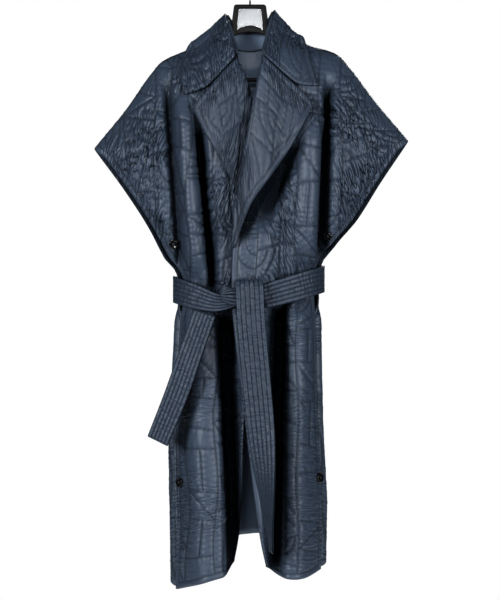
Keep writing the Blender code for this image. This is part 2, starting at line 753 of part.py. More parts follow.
def add_band(name, middle, across, outward, half, wall, surface):
    """A ribbed band swept along a line, with its own width direction and outside at each step."""
    share, rib = ribbed_section()
    bm = bmesh.new()
    loops = []
    for k in range(len(middle)):
        ring = []
        for s, r in zip(share, rib):
            ring.append(bm.verts.new(middle[k] + across[k] * half[k] * s + outward[k] * (wall + r)))
        for s in (1.0, -1.0):
            ring.append(bm.verts.new(middle[k] + across[k] * half[k] * s))
        loops.append(ring)
    for one, two in zip(loops, loops[1:]):
        for i in range(len(one)):
            n = (i + 1) % len(one)
            bm.faces.new((one[i], one[n], two[n], two[i]))
    bm.faces.new(list(reversed(loops[0])))
    bm.faces.new(loops[-1])
    return add_object(name, bm, surface)


def add_belt_round(name, surface):
    """The belt round the waist, from one side of the knot to the other."""
    turns = np.radians(np.linspace(BELT_END_TURN, 360.0 - BELT_END_TURN, BELT_STEPS + 1))
    power = 2.0 / BELT_POWER
    x = BELT_MIDDLE - BELT_HALF_WIDTH * np.sign(np.sin(turns)) * np.abs(np.sin(turns)) ** power
    front = np.cos(turns) > 0
    deep = np.where(front, BELT_FRONT, BELT_BACK)
    y = -deep * np.sign(np.cos(turns)) * np.abs(np.cos(turns)) ** power
    z_front, half_front = belt_height(x, "front")
    z_back, half_back = belt_height(x, "back")
    middle = np.stack([x, y, np.where(front, z_front, z_back)], axis=-1)
    half = np.where(front, half_front, half_back)
    step = np.gradient(middle, axis=0)
    outward = np.stack([step[:, 1], -step[:, 0], np.zeros(len(x))], axis=-1)
    outward /= np.linalg.norm(outward, axis=1, keepdims=True)
    outward *= np.sign(np.sum(outward * middle * (1, 1, 0), axis=1))[:, None]
    step /= np.linalg.norm(step, axis=1, keepdims=True)
    across = np.cross(outward, step)
    return add_band(name, middle, across, outward, half, BELT_WALL, surface)


def add_tail(name, table, surface):
    s = np.linspace(0.0, 1.0, TAIL_STEPS + 1)
    middle = along(table, "s", ("x", "y", "z"), s)
    half = along(table, "s", ("width",), s)[:, 0] / 2
    turn = np.radians(along(table, "s", ("turn",), s)[:, 0])
    step = np.gradient(middle, axis=0)
    step /= np.linalg.norm(step, axis=1, keepdims=True)
    face = np.stack([-np.sin(turn), -np.cos(turn), np.zeros(len(s))], axis=-1)
    across = np.cross(step, face)
    across /= np.linalg.norm(across, axis=1, keepdims=True)
    outward = np.cross(across, step)
    return add_band(name, middle, across, outward, half, TAIL_WALL, surface)


def ring_sweep(name, centres, half_a, half_b, axis_a, axis_b, around, surface):
    """A solid of oval sections along a line."""
    bm = bmesh.new()
    loops = []
    for k, centre in enumerate(centres):
        ring = []
        for turn in np.linspace(0.0, 2 * np.pi, around, endpoint=False):
            p = centre + axis_a * half_a[k] * math.cos(turn) + axis_b * half_b[k] * math.sin(turn)
            ring.append(bm.verts.new(p))
        loops.append(ring)
    for one, two in zip(loops, loops[1:]):
        for i in range(around):
            n = (i + 1) % around
            bm.faces.new((one[i], one[n], two[n], two[i]))
    bm.faces.new(list(reversed(loops[0])))
    bm.faces.new(loops[-1])
    return add_object(name, bm, surface)


def add_knot(name, surface):
    s = np.linspace(0.0, 1.0, KNOT_STEPS + 1)
    centres = along(KNOT, "s", ("x", "y", "z"), s)
    halves = along(KNOT, "s", ("half_y", "half_z"), s)
    y_axis = np.array([0.0, 1.0, 0.0])
    z_axis = np.array([0.0, 0.0, 1.0])
    return ring_sweep(name, centres, halves[:, 0], halves[:, 1], y_axis, z_axis, KNOT_AROUND, surface)


def add_button(name, x, z, surface):
    """A sew-through button on a front, flat on the cloth there."""
    panel = "right" if x < 0 else "left"
    turns = np.linspace(0.0, 2 * np.pi, 4 * BUTTON_QUARTER, endpoint=False)
    rim = draped(panel, x + BUTTON_RADIUS * np.cos(turns), z + BUTTON_RADIUS * np.sin(turns))
    middle = draped(panel, np.array([x]), np.array([z]))[0]
    right, top, left, low = rim[::BUTTON_QUARTER]
    normal = np.cross(right - left, top - low)
    normal /= np.linalg.norm(normal)
    highest = max(0.0, float(np.max((rim - middle) @ normal)))
    foot = middle + normal * (highest + WALL + PUFF)
    side = np.cross(normal, (0.0, 0.0, 1.0))
    side /= np.linalg.norm(side)
    up = np.cross(side, normal)
    profile = ((BUTTON_RADIUS - BUTTON_EDGE, 0.0), (BUTTON_RADIUS, BUTTON_THICK / 2),
               (BUTTON_RADIUS - BUTTON_EDGE, BUTTON_THICK),
               (BUTTON_RADIUS - BUTTON_RIM, BUTTON_THICK - BUTTON_DISH))
    radii = [radius for radius, _ in profile]
    centres = [foot + normal * height for _, height in profile]
    return ring_sweep(name, centres, radii, radii, side, up, BUTTON_AROUND, surface)


def frame_outline(inset_side, inset_foot, inset_top, inset_low, corner):
    """Outline of the hanger's frame, or one inside it: cut upper corners and an arched lower side."""
    top_half = NECK_TOP_HALF - inset_side
    bottom_half = NECK_BOTTOM_HALF - inset_foot
    top = NECK_TOP - inset_top
    bottom = NECK_BOTTOM + inset_low
    points = [(-top_half + corner, top), (top_half - corner, top), (top_half, top - corner)]
    for share in np.linspace(1.0, -1.0, ARCH_STEPS + 1):
        points.append((bottom_half * share, bottom + ARCH_RISE * (1 - share ** 2)))
    points.append((-top_half, top - corner))
    return points


def add_neck_frame(name, surface):
    """The hanger's upright frame with an open window."""
    outer = frame_outline(0.0, 0.0, 0.0, 0.0, NECK_CORNER)
    inner = frame_outline(NECK_BAR, NECK_RAIL, NECK_HEAD, NECK_RAIL, WINDOW_CORNER)
    bm = bmesh.new()
    layers = []
    for y in (-NECK_DEPTH / 2, NECK_DEPTH / 2):
        layers.append([[bm.verts.new((px, y, pz)) for px, pz in ring] for ring in (outer, inner)])
    count = len(outer)
    for i in range(count):
        n = (i + 1) % count
        (out_a, in_a), (out_b, in_b) = layers
        bm.faces.new((out_a[i], out_a[n], in_a[n], in_a[i]))
        bm.faces.new((out_b[i], in_b[i], in_b[n], out_b[n]))
        bm.faces.new((out_a[i], out_b[i], out_b[n], out_a[n]))
        bm.faces.new((in_a[i], in_a[n], in_b[n], in_b[i]))
    return add_object(name, bm, surface)


def add_arm(name, sign, surface):
    rows = np.stack([column(HANGER_ARM, n) for n in ("out", "z", "half_y", "half_z")], axis=-1)
    centres = np.stack([sign * rows[:, 0], np.zeros(len(rows)), rows[:, 1]], axis=-1)
    y_axis = np.array([0.0, 1.0, 0.0])
    z_axis = np.array([0.0, 0.0, 1.0])
    return ring_sweep(name, centres, rows[:, 2], rows[:, 3], y_axis, z_axis, ARM_AROUND, surface)


def add_bar(name, surface):
    """Trouser bar with both ends turned up into the arms."""
    half = [(BAR_HALF_SPAN - BAR_BEND, BAR_Z), (BAR_HALF_SPAN - BAR_BEND / 4, BAR_Z + BAR_BEND / 4),
            (BAR_HALF_SPAN, BAR_END_Z)]
    path = [(-x, z) for x, z in reversed(half)] + half
    return add_wire(name, path, BAR_RADIUS, 2, surface)


def add_wire(name, path, radius, resolution, surface):
    """A round wire along a path in the hanger's plane, as a mesh object."""
    curve = bpy.data.curves.new(name, "CURVE")
    curve.dimensions = "3D"
    line = curve.splines.new("POLY")
    line.points.add(len(path) - 1)
    for point, (x, z) in zip(line.points, path):
        point.co = (x, 0.0, z, 1.0)
    curve.bevel_depth = radius
    curve.bevel_resolution = resolution
    curve.use_fill_caps = True
    made = bpy.data.objects.new(name, curve)
    bpy.context.collection.objects.link(made)
    graph = bpy.context.evaluated_depsgraph_get()
    mesh = bpy.data.meshes.new_from_object(made.evaluated_get(graph))
    bpy.data.objects.remove(made)
    bm = bmesh.new()
    bm.from_mesh(mesh)
    bmesh.ops.remove_doubles(bm, verts=bm.verts, dist=MERGE)
    return add_object(name, bm, surface)


def join_solids(first, others):
    """One solid from several that run into one another."""
    for other in others:
        cut = first.modifiers.new("join", "BOOLEAN")
        cut.operation = "UNION"
        cut.solver = "EXACT"
        cut.object = other
        graph = bpy.context.evaluated_depsgraph_get()
        mesh = bpy.data.meshes.new_from_object(first.evaluated_get(graph))
        first.modifiers.remove(cut)
        first.data = mesh
        bpy.data.objects.remove(other)
    return first


def add_plate(name, surface):
    """Clear plate that fills the frame's window."""
    window = frame_outline(NECK_BAR + PLATE_GAP, NECK_RAIL + PLATE_GAP, NECK_HEAD + PLATE_GAP,
                           NECK_RAIL + 2 * PLATE_GAP, WINDOW_CORNER)
    bm = bmesh.new()
    layers = []
    for y in (-PLATE_HALF, PLATE_HALF):
        layers.append([bm.verts.new((px, y, pz)) for px, pz in window])
    count = len(window)
    for i in range(count):
        n = (i + 1) % count
        bm.faces.new((layers[0][i], layers[0][n], layers[1][n], layers[1][i]))
    bm.faces.new(layers[0])
    bm.faces.new(list(reversed(layers[1])))
    return add_object(name, bm, surface)


def add_hook(name, surface):
    """Wire hook: a stem from the neck frame and an open ring over the rail."""
    radius = HOOK_INSIDE + HOOK_WIRE
    centre = -HOOK_INSIDE
    path = [(0.0, NECK_TOP + SEAM_GAP), (0.0, centre - radius - HOOK_STEM)]
    for turn in np.radians(np.linspace(*HOOK_TURNS, HOOK_STEPS + 1)):
        path.append((radius * math.cos(turn), centre + radius * math.sin(turn)))
    return add_wire(name, path, HOOK_WIRE, 1, surface)


def build():
    for old in list(bpy.data.objects):
        bpy.data.objects.remove(old)
    nylon = material("quilted_nylon", NAVY, 0.45)
    lining = material("lining", LINING, 0.5)
    plastic = material("black_plastic", BLACK, 0.35)
    horn = material("button_plastic", BLACK, 0.2)
    steel = material("hook_steel", STEEL, 0.25, 1.0)
    clear = material("clear_plate", CLEAR, 0.1)

    add_panel("front_right", "right", FRONT_COLUMNS, nylon)
    add_panel("front_left", "left", FRONT_COLUMNS, nylon)
    add_panel("back", "back", BACK_COLUMNS, nylon)
    add_lapel("lapel_right", "right", RIGHT_LAPEL, nylon)
    add_lapel("lapel_left", "left", LEFT_LAPEL, nylon)
    add_collar("collar", nylon)
    add_stand("collar_stand", lining)
    add_belt_round("belt_round", nylon)
    add_knot("belt_knot", nylon)
    add_tail("belt_tail_long", LONG_TAIL, nylon)
    add_tail("belt_tail_short", SHORT_TAIL, nylon)
    for name, x, z in BUTTONS[1:]:
        add_button(name, x, z, horn)
    frame = add_neck_frame("hanger_body", plastic)
    arms = [add_arm("arm_right", -1, plastic), add_arm("arm_left", 1, plastic), add_bar("bar", plastic)]
    join_solids(frame, arms)
    add_plate("hanger_plate", clear)
    add_hook("hanger_hook", steel)


build()
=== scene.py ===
"""Looks of a quilted poncho coat on its hanger: cloth shells, quilting, sewing, finishes, light and camera.

Metres, +Z up, in the frame of the solids: the coat's front faces -Y and its own left side is at +X.
"""

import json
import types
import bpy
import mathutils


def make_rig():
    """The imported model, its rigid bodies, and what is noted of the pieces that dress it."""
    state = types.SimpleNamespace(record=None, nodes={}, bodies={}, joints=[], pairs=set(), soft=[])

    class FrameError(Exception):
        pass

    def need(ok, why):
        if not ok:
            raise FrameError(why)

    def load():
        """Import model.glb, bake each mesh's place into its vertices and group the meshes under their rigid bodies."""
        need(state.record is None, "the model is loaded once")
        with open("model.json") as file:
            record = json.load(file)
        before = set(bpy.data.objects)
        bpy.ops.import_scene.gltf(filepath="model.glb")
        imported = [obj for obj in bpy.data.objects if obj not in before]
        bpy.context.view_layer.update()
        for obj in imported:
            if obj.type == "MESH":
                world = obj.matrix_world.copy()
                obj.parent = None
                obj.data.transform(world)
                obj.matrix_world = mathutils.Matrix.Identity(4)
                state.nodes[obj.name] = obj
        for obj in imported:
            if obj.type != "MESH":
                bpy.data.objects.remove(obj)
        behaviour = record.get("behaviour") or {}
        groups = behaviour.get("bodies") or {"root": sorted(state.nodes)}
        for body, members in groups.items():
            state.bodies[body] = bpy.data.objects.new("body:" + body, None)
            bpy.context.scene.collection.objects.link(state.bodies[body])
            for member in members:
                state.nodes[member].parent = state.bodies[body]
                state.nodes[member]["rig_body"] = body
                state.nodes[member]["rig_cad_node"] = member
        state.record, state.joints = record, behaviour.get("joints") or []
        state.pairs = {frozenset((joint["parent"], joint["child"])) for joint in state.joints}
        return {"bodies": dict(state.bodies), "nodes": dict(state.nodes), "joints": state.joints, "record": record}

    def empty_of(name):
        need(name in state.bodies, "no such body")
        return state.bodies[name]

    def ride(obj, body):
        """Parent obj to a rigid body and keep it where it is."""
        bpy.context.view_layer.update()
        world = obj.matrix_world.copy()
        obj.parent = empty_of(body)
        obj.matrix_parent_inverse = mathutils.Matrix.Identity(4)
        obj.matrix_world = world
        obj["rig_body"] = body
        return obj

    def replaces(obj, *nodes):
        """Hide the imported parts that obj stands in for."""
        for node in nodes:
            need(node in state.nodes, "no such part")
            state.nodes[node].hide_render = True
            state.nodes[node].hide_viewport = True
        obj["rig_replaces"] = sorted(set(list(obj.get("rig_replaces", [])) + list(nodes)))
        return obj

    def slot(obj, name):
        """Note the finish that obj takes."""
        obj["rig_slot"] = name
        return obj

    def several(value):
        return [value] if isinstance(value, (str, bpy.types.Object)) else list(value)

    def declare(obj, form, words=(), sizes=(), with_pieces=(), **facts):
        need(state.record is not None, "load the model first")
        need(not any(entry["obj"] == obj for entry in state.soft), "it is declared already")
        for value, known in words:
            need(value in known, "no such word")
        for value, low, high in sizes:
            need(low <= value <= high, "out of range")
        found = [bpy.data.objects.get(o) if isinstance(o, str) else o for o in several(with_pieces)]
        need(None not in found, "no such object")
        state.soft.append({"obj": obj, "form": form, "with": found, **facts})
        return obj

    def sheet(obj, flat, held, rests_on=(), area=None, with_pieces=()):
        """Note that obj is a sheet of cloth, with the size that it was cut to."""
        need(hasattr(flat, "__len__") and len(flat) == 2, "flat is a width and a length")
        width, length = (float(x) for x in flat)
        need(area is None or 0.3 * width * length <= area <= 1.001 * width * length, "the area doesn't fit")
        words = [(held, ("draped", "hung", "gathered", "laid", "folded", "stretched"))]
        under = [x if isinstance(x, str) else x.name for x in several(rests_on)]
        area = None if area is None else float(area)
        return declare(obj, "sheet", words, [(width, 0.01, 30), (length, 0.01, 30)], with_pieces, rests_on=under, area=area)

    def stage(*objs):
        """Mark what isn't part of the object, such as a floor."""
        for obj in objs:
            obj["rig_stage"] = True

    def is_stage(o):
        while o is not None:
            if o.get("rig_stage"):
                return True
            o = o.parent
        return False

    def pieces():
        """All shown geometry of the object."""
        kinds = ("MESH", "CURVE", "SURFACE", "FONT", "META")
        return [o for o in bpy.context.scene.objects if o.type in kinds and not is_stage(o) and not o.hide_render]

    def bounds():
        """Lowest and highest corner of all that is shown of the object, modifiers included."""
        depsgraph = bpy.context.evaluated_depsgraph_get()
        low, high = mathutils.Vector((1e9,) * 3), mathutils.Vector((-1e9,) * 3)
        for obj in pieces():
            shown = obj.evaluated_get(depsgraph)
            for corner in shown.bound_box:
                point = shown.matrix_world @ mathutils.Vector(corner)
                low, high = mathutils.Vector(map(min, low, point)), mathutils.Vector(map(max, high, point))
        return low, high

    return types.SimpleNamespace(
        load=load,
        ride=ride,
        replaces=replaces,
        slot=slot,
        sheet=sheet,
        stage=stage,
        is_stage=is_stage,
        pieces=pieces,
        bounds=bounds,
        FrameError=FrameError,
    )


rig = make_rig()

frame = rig.load()

import json
import math
import random

import bmesh
import bpy
import numpy as np
from mathutils import Vector
from mathutils.kdtree import KDTree

SOLID_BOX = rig.bounds()
SIZE_FILE = "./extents.json"

# Camera, floor and light: the photo's frame is 500 by 600 and shows 1.26 m of height
VIEW_HEIGHT = 1.26
VIEW_DISTANCE = 4.5
VIEW_MIDDLE = (0.0, -0.680)
SENSOR = 36.0
VIEW_GAMMA = 0.75
FLOOR_Z = -1.70
FLOOR_HALF = 1.3
FLOOR_COLOUR = (0.86, 0.86, 0.85)
AMBIENT = 0.04
LAMPS = (
    ("name", "x", "y", "z", "size", "watts"),
    ("key_left", -2.3, -3.0, -0.05, 1.0, 250.0),
    ("key_right", 2.4, -2.9, -0.40, 1.0, 210.0),
    ("front", 0.0, -3.6, 0.7, 1.2, 40.0),
    ("rim_back", 0.6, 2.9, 0.9, 1.6, 160.0),
)

# A narrow lamp that reaches the lining through the neck opening
NECK_LAMP = (0.0, -2.2, -0.05)
NECK_LAMP_AIM = (0.002, 0.06, -0.172)
NECK_LAMP_WIDE = 0.080
NECK_LAMP_WATTS = 120.0
NECK_LAMP_SIZE = 0.05
NECK_LAMP_BLEND = 0.35

# Cloth shells: spans of the outside, and how many of them one span of the inside takes
FINE_COLUMNS = 420
FRONT_SPANS = (192, 432)
BACK_SPANS = (224, 384)
LAPEL_SPANS = (48, 120)
COLLAR_SPANS = (48, 240)
STAND_SPANS = (16, 120)
INNER_STEP = 4
FACING_SPANS = 3
# The inside's facings get painted shade, as they lie in the coat's shadow
FACING_PAINTED_SHADE = 0.6
INSIDE_ROUGH = 0.3
EVEN_NORMALS = 10
EDGE_ROUND = 0.004
EDGE_THIN = 0.4
EDGE_DROP = 0.0015

# Gullies are wider and have steeper sides than in the solids
GULLY_OPEN = 1.20
GULLY_POWER = 4

# Quilting: a patch's start, width, length and tilt are each drawn between two shares of PATCH
PUFF = 0.0018
PUFF_WIDTH = 0.0032
PUFF_POWER = 1.5
PUCKER = 0.0007
PUCKER_STEP = 0.0115
PUCKER_REACH = 0.010
PUCKER_SWAY = 2.0
PUCKER_SWAY_RUN = 0.05
PATCH = 0.048
PATCH_START = (0.2, 0.8)
PATCH_WIDE = (0.70, 1.40)
PATCH_LONG = (0.75, 2.0)
PATCH_TILT = (-0.4, 0.4)
PATCH_KINDS = ("plain", "slant", "fan", "split")
PATCH_WEIGHTS = (5, 3, 2, 2)
FAN_STEPS = 6
FAN_SHARES = (0.45, 0.8)
WANDER = 0.006
WANDER_SHARE = (0.5, 1.0)
WANDER_STEP = 0.26
LINE_STEP = 0.020
QUILT_REACH = 0.030
RUN_OFFSET = math.e
BAND = 0.013
SEAM_WIDTH = 0.0012
WRINKLE = 0.0052
WRINKLE_STEP = 0.0100
WRINKLE_RUN = 0.038
WRINKLE_BEND = 0.008
WRINKLE_BEND_SIZE = 0.06
WRINKLE_SHARP = 0.75
LEVEL_BLUNT = 0.45
# Wrinkles' valleys get painted shade: VALLEY sets how narrow, VALLEY_PAINTED_SHADE how dark, LEVEL_VALLEY its share
# across
VALLEY = 0.14
VALLEY_PAINTED_SHADE = 0.78
LEVEL_VALLEY = 0.15
# Painted shade in the grooves along the quilting lines
SEAM_PAINTED_SHADE = 0.58
CRUMPLE_SIZE = 0.075
CRUMPLE_SPREAD = 1.1
SLEEVE_FROM = 0.160
SLEEVE_SOFT = 0.03
SLEEVE_LOW = -0.62
SLEEVE_LOW_SOFT = 0.1
SLEEVE_CRUMPLE = 0.70
MOST_CRUMPLED = 1.25
LEVEL_CALM = 0.32
ROLL_CALM = 0.65
LEVEL_ROLL = 0.35
ROLL_FULL = 0.016
# Gullies get painted shade, in full where they go this deep
GULLY_FULL = 0.032
GULLY_PAINTED_SHADE = 0.97
SHOULDER_CALM = 0.035
SHOULDER_SHARE = 0.25
SHOULDER_SMOOTH = 0.110
SHOULDER_ROUGH = 0.3
SIDE_CALM = {"right": 0.030, "left": 0.030, "back": 0.110}
SIDE_SHARE = 0.15
NOISE_SIZE = 64

# Sewing
STITCH_PITCH = 0.0055
STITCH_LENGTH = 0.0036
STITCH_RADIUS = 0.00042
STITCH_SINK = 0.0001
SHORTEST_ROUTE = 3
ROUTE_SLACK = 0.003
THREAD_RADIUS = 0.0006
THREAD_AROUND = 8
THREAD_REACH = 0.0022

# Finishes: the stretches are cycles a metre across, down and through
NAVY = (0.030, 0.042, 0.062)
# Near-black navy that painted shade blends the cloth towards
SHADE_NAVY = (0.0030, 0.0045, 0.0070)
# The lining is lighter than the nylon: partly its own colour, partly painted light, as it lies in shade inside the
# coat
LINING = (0.074, 0.100, 0.143)
THREAD = (0.022, 0.031, 0.046)
BLACK = (0.0035, 0.0035, 0.004)
STEEL = (0.62, 0.62, 0.64)
CLEAR = (0.13, 0.137, 0.146)
CLOTH_SHINE = 0.28
PLAIN_SHINE = 0.5
HANGER_SHINE = 0.12
FINE_DOWN = (125.0, 34.0, 1.0)
FINE_ACROSS = (34.0, 125.0, 1.0)
FINE_DETAIL = 0.5
FINE_WRINKLE = 0.0140
# Painted shade in the valleys of the fine wrinkles
FINE_VALLEY = 28.0
LINING_WRINKLE = 0.0010
WEAVE = (2600.0, 2600.0, 1.0)
WEAVE_HEIGHT = 0.00006
CLEAR_SHARE = 0.2
CLEAR_BEND = 1.45
CLOTH_FINISHES = (
    ("use", "name", "colour", "painted_shade_colour", "roughness", "wrinkle"),
    ("quilted_nylon", "nylon_satin", NAVY, SHADE_NAVY, 0.48, FINE_WRINKLE),
    ("lining", "lining_taffeta", LINING, LINING, 0.46, LINING_WRINKLE),
    # The stand's painted shade blends it towards the near-black navy
    ("stand", "stand_lining", LINING, SHADE_NAVY, 0.46, LINING_WRINKLE),
)
PLAIN_FINISHES = (
    ("use", "name", "colour", "roughness", "metallic", "grain", "height", "shine"),
    ("thread", "sewing_thread", THREAD, 0.60, 0.0, 3000.0, 0.00010, PLAIN_SHINE),
    ("black_plastic", "satin_plastic", BLACK, 0.45, 0.0, 900.0, 0.00003, HANGER_SHINE),
    ("button_plastic", "gloss_plastic", BLACK, 0.16, 0.0, 250.0, 0.00002, PLAIN_SHINE),
    ("hook_steel", "bright_steel", STEEL, 0.22, 1.0, 700.0, 0.00002, PLAIN_SHINE),
    ("clear_plate", "clear_plate_look", CLEAR, 0.25, 0.0, 60.0, 0.00002, PLAIN_SHINE),
    ("floor", "pale_floor", FLOOR_COLOUR, 0.80, 0.0, 40.0, 0.00050, PLAIN_SHINE),
)

# Panels
OUTWARD = {"right": -1.0, "left": 1.0, "back": 1.0}
LEANS = {"right": 0.25, "left": -0.25, "back": 0.0}
SIDES = {"right": ("start",), "left": ("start",), "back": ("start", "end")}
PANELS = (
    ("name", "panel", "spans", "seed"),
    ("front_right", "right", FRONT_SPANS, 11),
    ("front_left", "left", FRONT_SPANS, 23),
    ("back", "back", BACK_SPANS, 37),
)
LEVEL_FROM = 0.66
LEVEL_SOFT = 0.10
GATHER = 0.0022
GATHER_STEP = 0.011
GATHER_RUN = 0.2
GATHER_FADE = 0.035

# Lapels, collar and collar stand
ROLL_SPANS = 8
ROLL_TURN = 2.6
ROLL_RADIUS = 0.006
ROLL_LEAST = 0.001
ROLL_POWER = 4
CROWN_POWER = 3
LAPEL_SOFT = 0.8
LAPEL_LEAN = -0.5
COLLAR_PUFFED = 0.5
# Painted shade over all of the lapels and collar, which face the lamps
TURNED_BACK_PAINTED_SHADE = 0.18
COLLAR_EVEN = 50
STAND_WALL = 0.002
STAND_ROUGH = 0.04
# The stand's sides, nearer the front than STAND_SHADED, get painted shade
STAND_SHADED = 0.020

# Lapels: rows of name, panel, seed and how much more they are crumpled
LAPELS = (
    ("name", "panel", "seed", "more"),
    ("lapel_right", "right", 41, 0.30),
    ("lapel_left", "left", 42, -0.15),
)
COLLAR_CRUMPLE = 0.25
COLLAR_SEED = 43
TOPSTITCHING = (BAND / 3, BAND)

# The left lapel stands off the front; a painted shadow darkens a strip of the front along its edge
SHADED_WIDTH = 0.014
SHADED_SOFT = 0.020
SHADED_TOP = -0.335
SHADED_LOW = -0.575
SHADED_FADE = 0.035

# Seams of the back's lining that show in the neck opening: x and z of both ends
LINING_SEAMS = (
    ("x_top", "z_top", "x_low", "z_low"),
    (-0.0105, -0.150, -0.0100, -0.250),
    (0.0250, -0.150, 0.0235, -0.250),
)
LINING_SEAM_STEPS = 24

# Belt and knot
BAND_SPANS = 48
BELT_ROUND_STEPS = 240
BELT_SEED = 51
BELT_PUFF = 0.0034
BELT_PUFF_MEAN = 0.8
BELT_PUFF_SWING = 0.35
BELT_SIDE_FLAT = 0.85
# Painted shade in the belt's channel seams, and over all of it
BELT_SEAM = 0.55
BELT_PAINTED_SHADE = 0.22
BELT_ROUGH = 0.25
BELT_PUCKER = 0.0003
BELT_PUCKER_STEP = 0.006
TAIL_STEPS = 160
KNOT_STEPS = 40
KNOT_AROUND = 64
KNOT_PLEAT = 0.30
KNOT_PLEATS = 14
KNOT_TWIST = 1.5
KNOT_CLOTH = (0.01, 0.08)
KNOT_ROUGH = 0.5

# Small hard pieces; the button's profile is in shares of its radius and thickness
BUTTON_AROUND = 40
BUTTON_PROFILE = (
    ("radius", "height"),
    (0.80, 0.00), (0.93, 0.10), (1.00, 0.45), (0.98, 0.80), (0.92, 0.98), (0.85, 1.00),
    (0.78, 0.90), (0.70, 0.74), (0.30, 0.70), (0.04, 0.70),
)
CORNER_STEPS = 6
ARCH_STEPS = 24
ARM_STEPS = 40
ARM_AROUND = 28
ARM_ROUND = 0.012
ARM_TIP = 0.3
FRAME_BEVEL = 0.0014
BEVEL_SEGMENTS = 3
BEVEL_ANGLE = 50.0
WIRE_AROUND = 16
HOOK_STEPS = 60

# Cloth laid flat: width, length and area of each piece, how it is held and what it rests on
CLOTH = (
    ("name", "wide", "long", "area", "held", "on"),
    ("front_right", 0.425, 1.190, 0.321, "hung", "hanger_body"),
    ("front_left", 0.400, 1.200, 0.323, "hung", "hanger_body"),
    ("back", 0.900, 1.090, 0.561, "hung", "hanger_body"),
    ("lapel_right", 0.152, 0.291, 0.0208, "folded", "front_right"),
    ("lapel_left", 0.152, 0.407, 0.0276, "folded", "front_left"),
    ("collar", 0.126, 0.690, 0.0591, "folded", "collar_stand"),
    ("collar_stand", 0.050, 0.316, 0.0097, "folded", "back"),
    ("belt_round", 0.055, 0.790, 0.0411, "gathered", "back"),
    ("belt_tail_long", 0.058, 0.637, 0.0331, "hung", "belt_knot"),
    ("belt_tail_short", 0.051, 0.286, 0.0143, "hung", "belt_knot"),
    ("belt_knot", 0.055, 0.090, 0.0049, "gathered", "belt_round"),
)

# Cloth, as the solids have it
WALL = 0.003
SEAM_GAP = 0.0004
FRONT_INSET = 0.010
DEPTH_POWER = 0.8
LEAST_DEPTH = 0.004
FOLD_SOFT = 0.06
INSET_SOFT = 0.04
SOLID_PUFF = 0.004

# The left front laps over the right one
OVERLAP_LIFT = 0.022
OVERLAP_FROM = 0.075
OVERLAP_SOFT = 0.05
LOW_LIFT = 0.007
LOW_LIFT_Z = -0.92
LOW_LIFT_SOFT = 0.16
UNDER_DROP = 0.006
UNDER_FROM = -0.06
UNDER_SOFT = 0.04

# The back's side edges bend forward below the belt
WRAP_FROM = 0.86
WRAP_BULGE = 0.022
WRAP_BEND = 0.007
WRAP_UNDER = 0.022
WRAP_END = -0.005
WRAP_TOP = -0.670
WRAP_FADE = 0.06

# Neck and shoulders
NECK_HALF = 0.0735
NECK_BACK = 0.048
NECK_DIP = 0.016
SHOULDER_ROUND = 0.110
BACK_SHOULDER = 0.4167

# Belt
BELT_MIDDLE = -0.0025
BELT_HALF_WIDTH = 0.1552
BELT_FRONT = 0.100
BELT_BACK = 0.098
BELT_POWER = 2.3
BELT_WALL = 0.0035
BELT_CHANNELS = 6
BELT_HALF_HEIGHT = 0.0275
BELT_PRESS = 0.024
BELT_ROOM = 0.003
BELT_LAP = 0.018
BELT_LAP_FROM = -0.08
BELT_END_TURN = 8.0
TAIL_WALL = 0.0032

# Lapels and collar
LAPEL_CROWN = 0.005
LAPEL_GAP = 0.005
COLLAR_CROWD = 0.028
COLLAR_MID = 0.62
COLLAR_LIFT = 0.014
COLLAR_GAP = 0.014
COLLAR_BACK_GAP = 0.024
COLLAR_SPARE = (0.070, 0.022, 0.012)
COLLAR_SIDE = 0.25
COLLAR_TURN = 0.10
COLLAR_CLEAR = 0.028
COLLAR_SOFT = 0.02

# Buttons
BUTTON_RADIUS = 0.0102
BUTTON_THICK = 0.0032
BUTTON_QUARTER = 3

# Hanger
HOOK_WIRE = 0.0017
HOOK_INSIDE = 0.019
HOOK_STEM = 0.006
HOOK_TURNS = (-80.0, 180.0)
NECK_TOP = -0.060
NECK_BOTTOM = -0.130
NECK_TOP_HALF = 0.034
NECK_BOTTOM_HALF = 0.0425
NECK_DEPTH = 0.012
NECK_BAR = 0.0105
NECK_RAIL = 0.014
NECK_HEAD = 0.008
NECK_CORNER = 0.006
WINDOW_CORNER = 0.004
ARCH_RISE = 0.012
BAR_Z = -0.218
BAR_HALF_SPAN = 0.158
BAR_END_Z = -0.206
BAR_BEND = 0.014
BAR_RADIUS = 0.0042

# Shoulder line of each side, from the neck to the sleeve tip
RIGHT_SHOULDER = (
    ("u", "out", "z"),
    (1.00, 0.0735, -0.132),
    (0.84, 0.128, -0.157),
    (0.68, 0.186, -0.185),
    (0.60, 0.203, -0.205),
    (0.32, 0.258, -0.283),
    (0.00, 0.3255, -0.365),
)
LEFT_SHOULDER = (
    ("u", "out", "z"),
    (1.00, 0.0735, -0.128),
    (0.84, 0.130, -0.150),
    (0.68, 0.187, -0.172),
    (0.60, 0.206, -0.194),
    (0.32, 0.262, -0.268),
    (0.00, 0.331, -0.349),
)

# Outer edge of each side: sleeve opening, then the side slit down to the hem
RIGHT_EDGE = (
    ("v", "out", "z"),
    (0.00, 0.3255, -0.365),
    (0.16, 0.258, -0.457),
    (0.27, 0.214, -0.525),
    (0.37, 0.180, -0.588),
    (0.46, 0.149, -0.638),
    (0.56, 0.156, -0.743),
    (0.74, 0.169, -0.974),
    (0.91, 0.165, -1.186),
    (1.00, 0.164, -1.284),
)
LEFT_EDGE = (
    ("v", "out", "z"),
    (0.00, 0.331, -0.349),
    (0.16, 0.271, -0.438),
    (0.27, 0.224, -0.512),
    (0.37, 0.177, -0.567),
    (0.46, 0.145, -0.620),
    (0.56, 0.146, -0.737),
    (0.72, 0.150, -0.932),
    (0.87, 0.159, -1.100),
    (1.00, 0.157, -1.242),
)

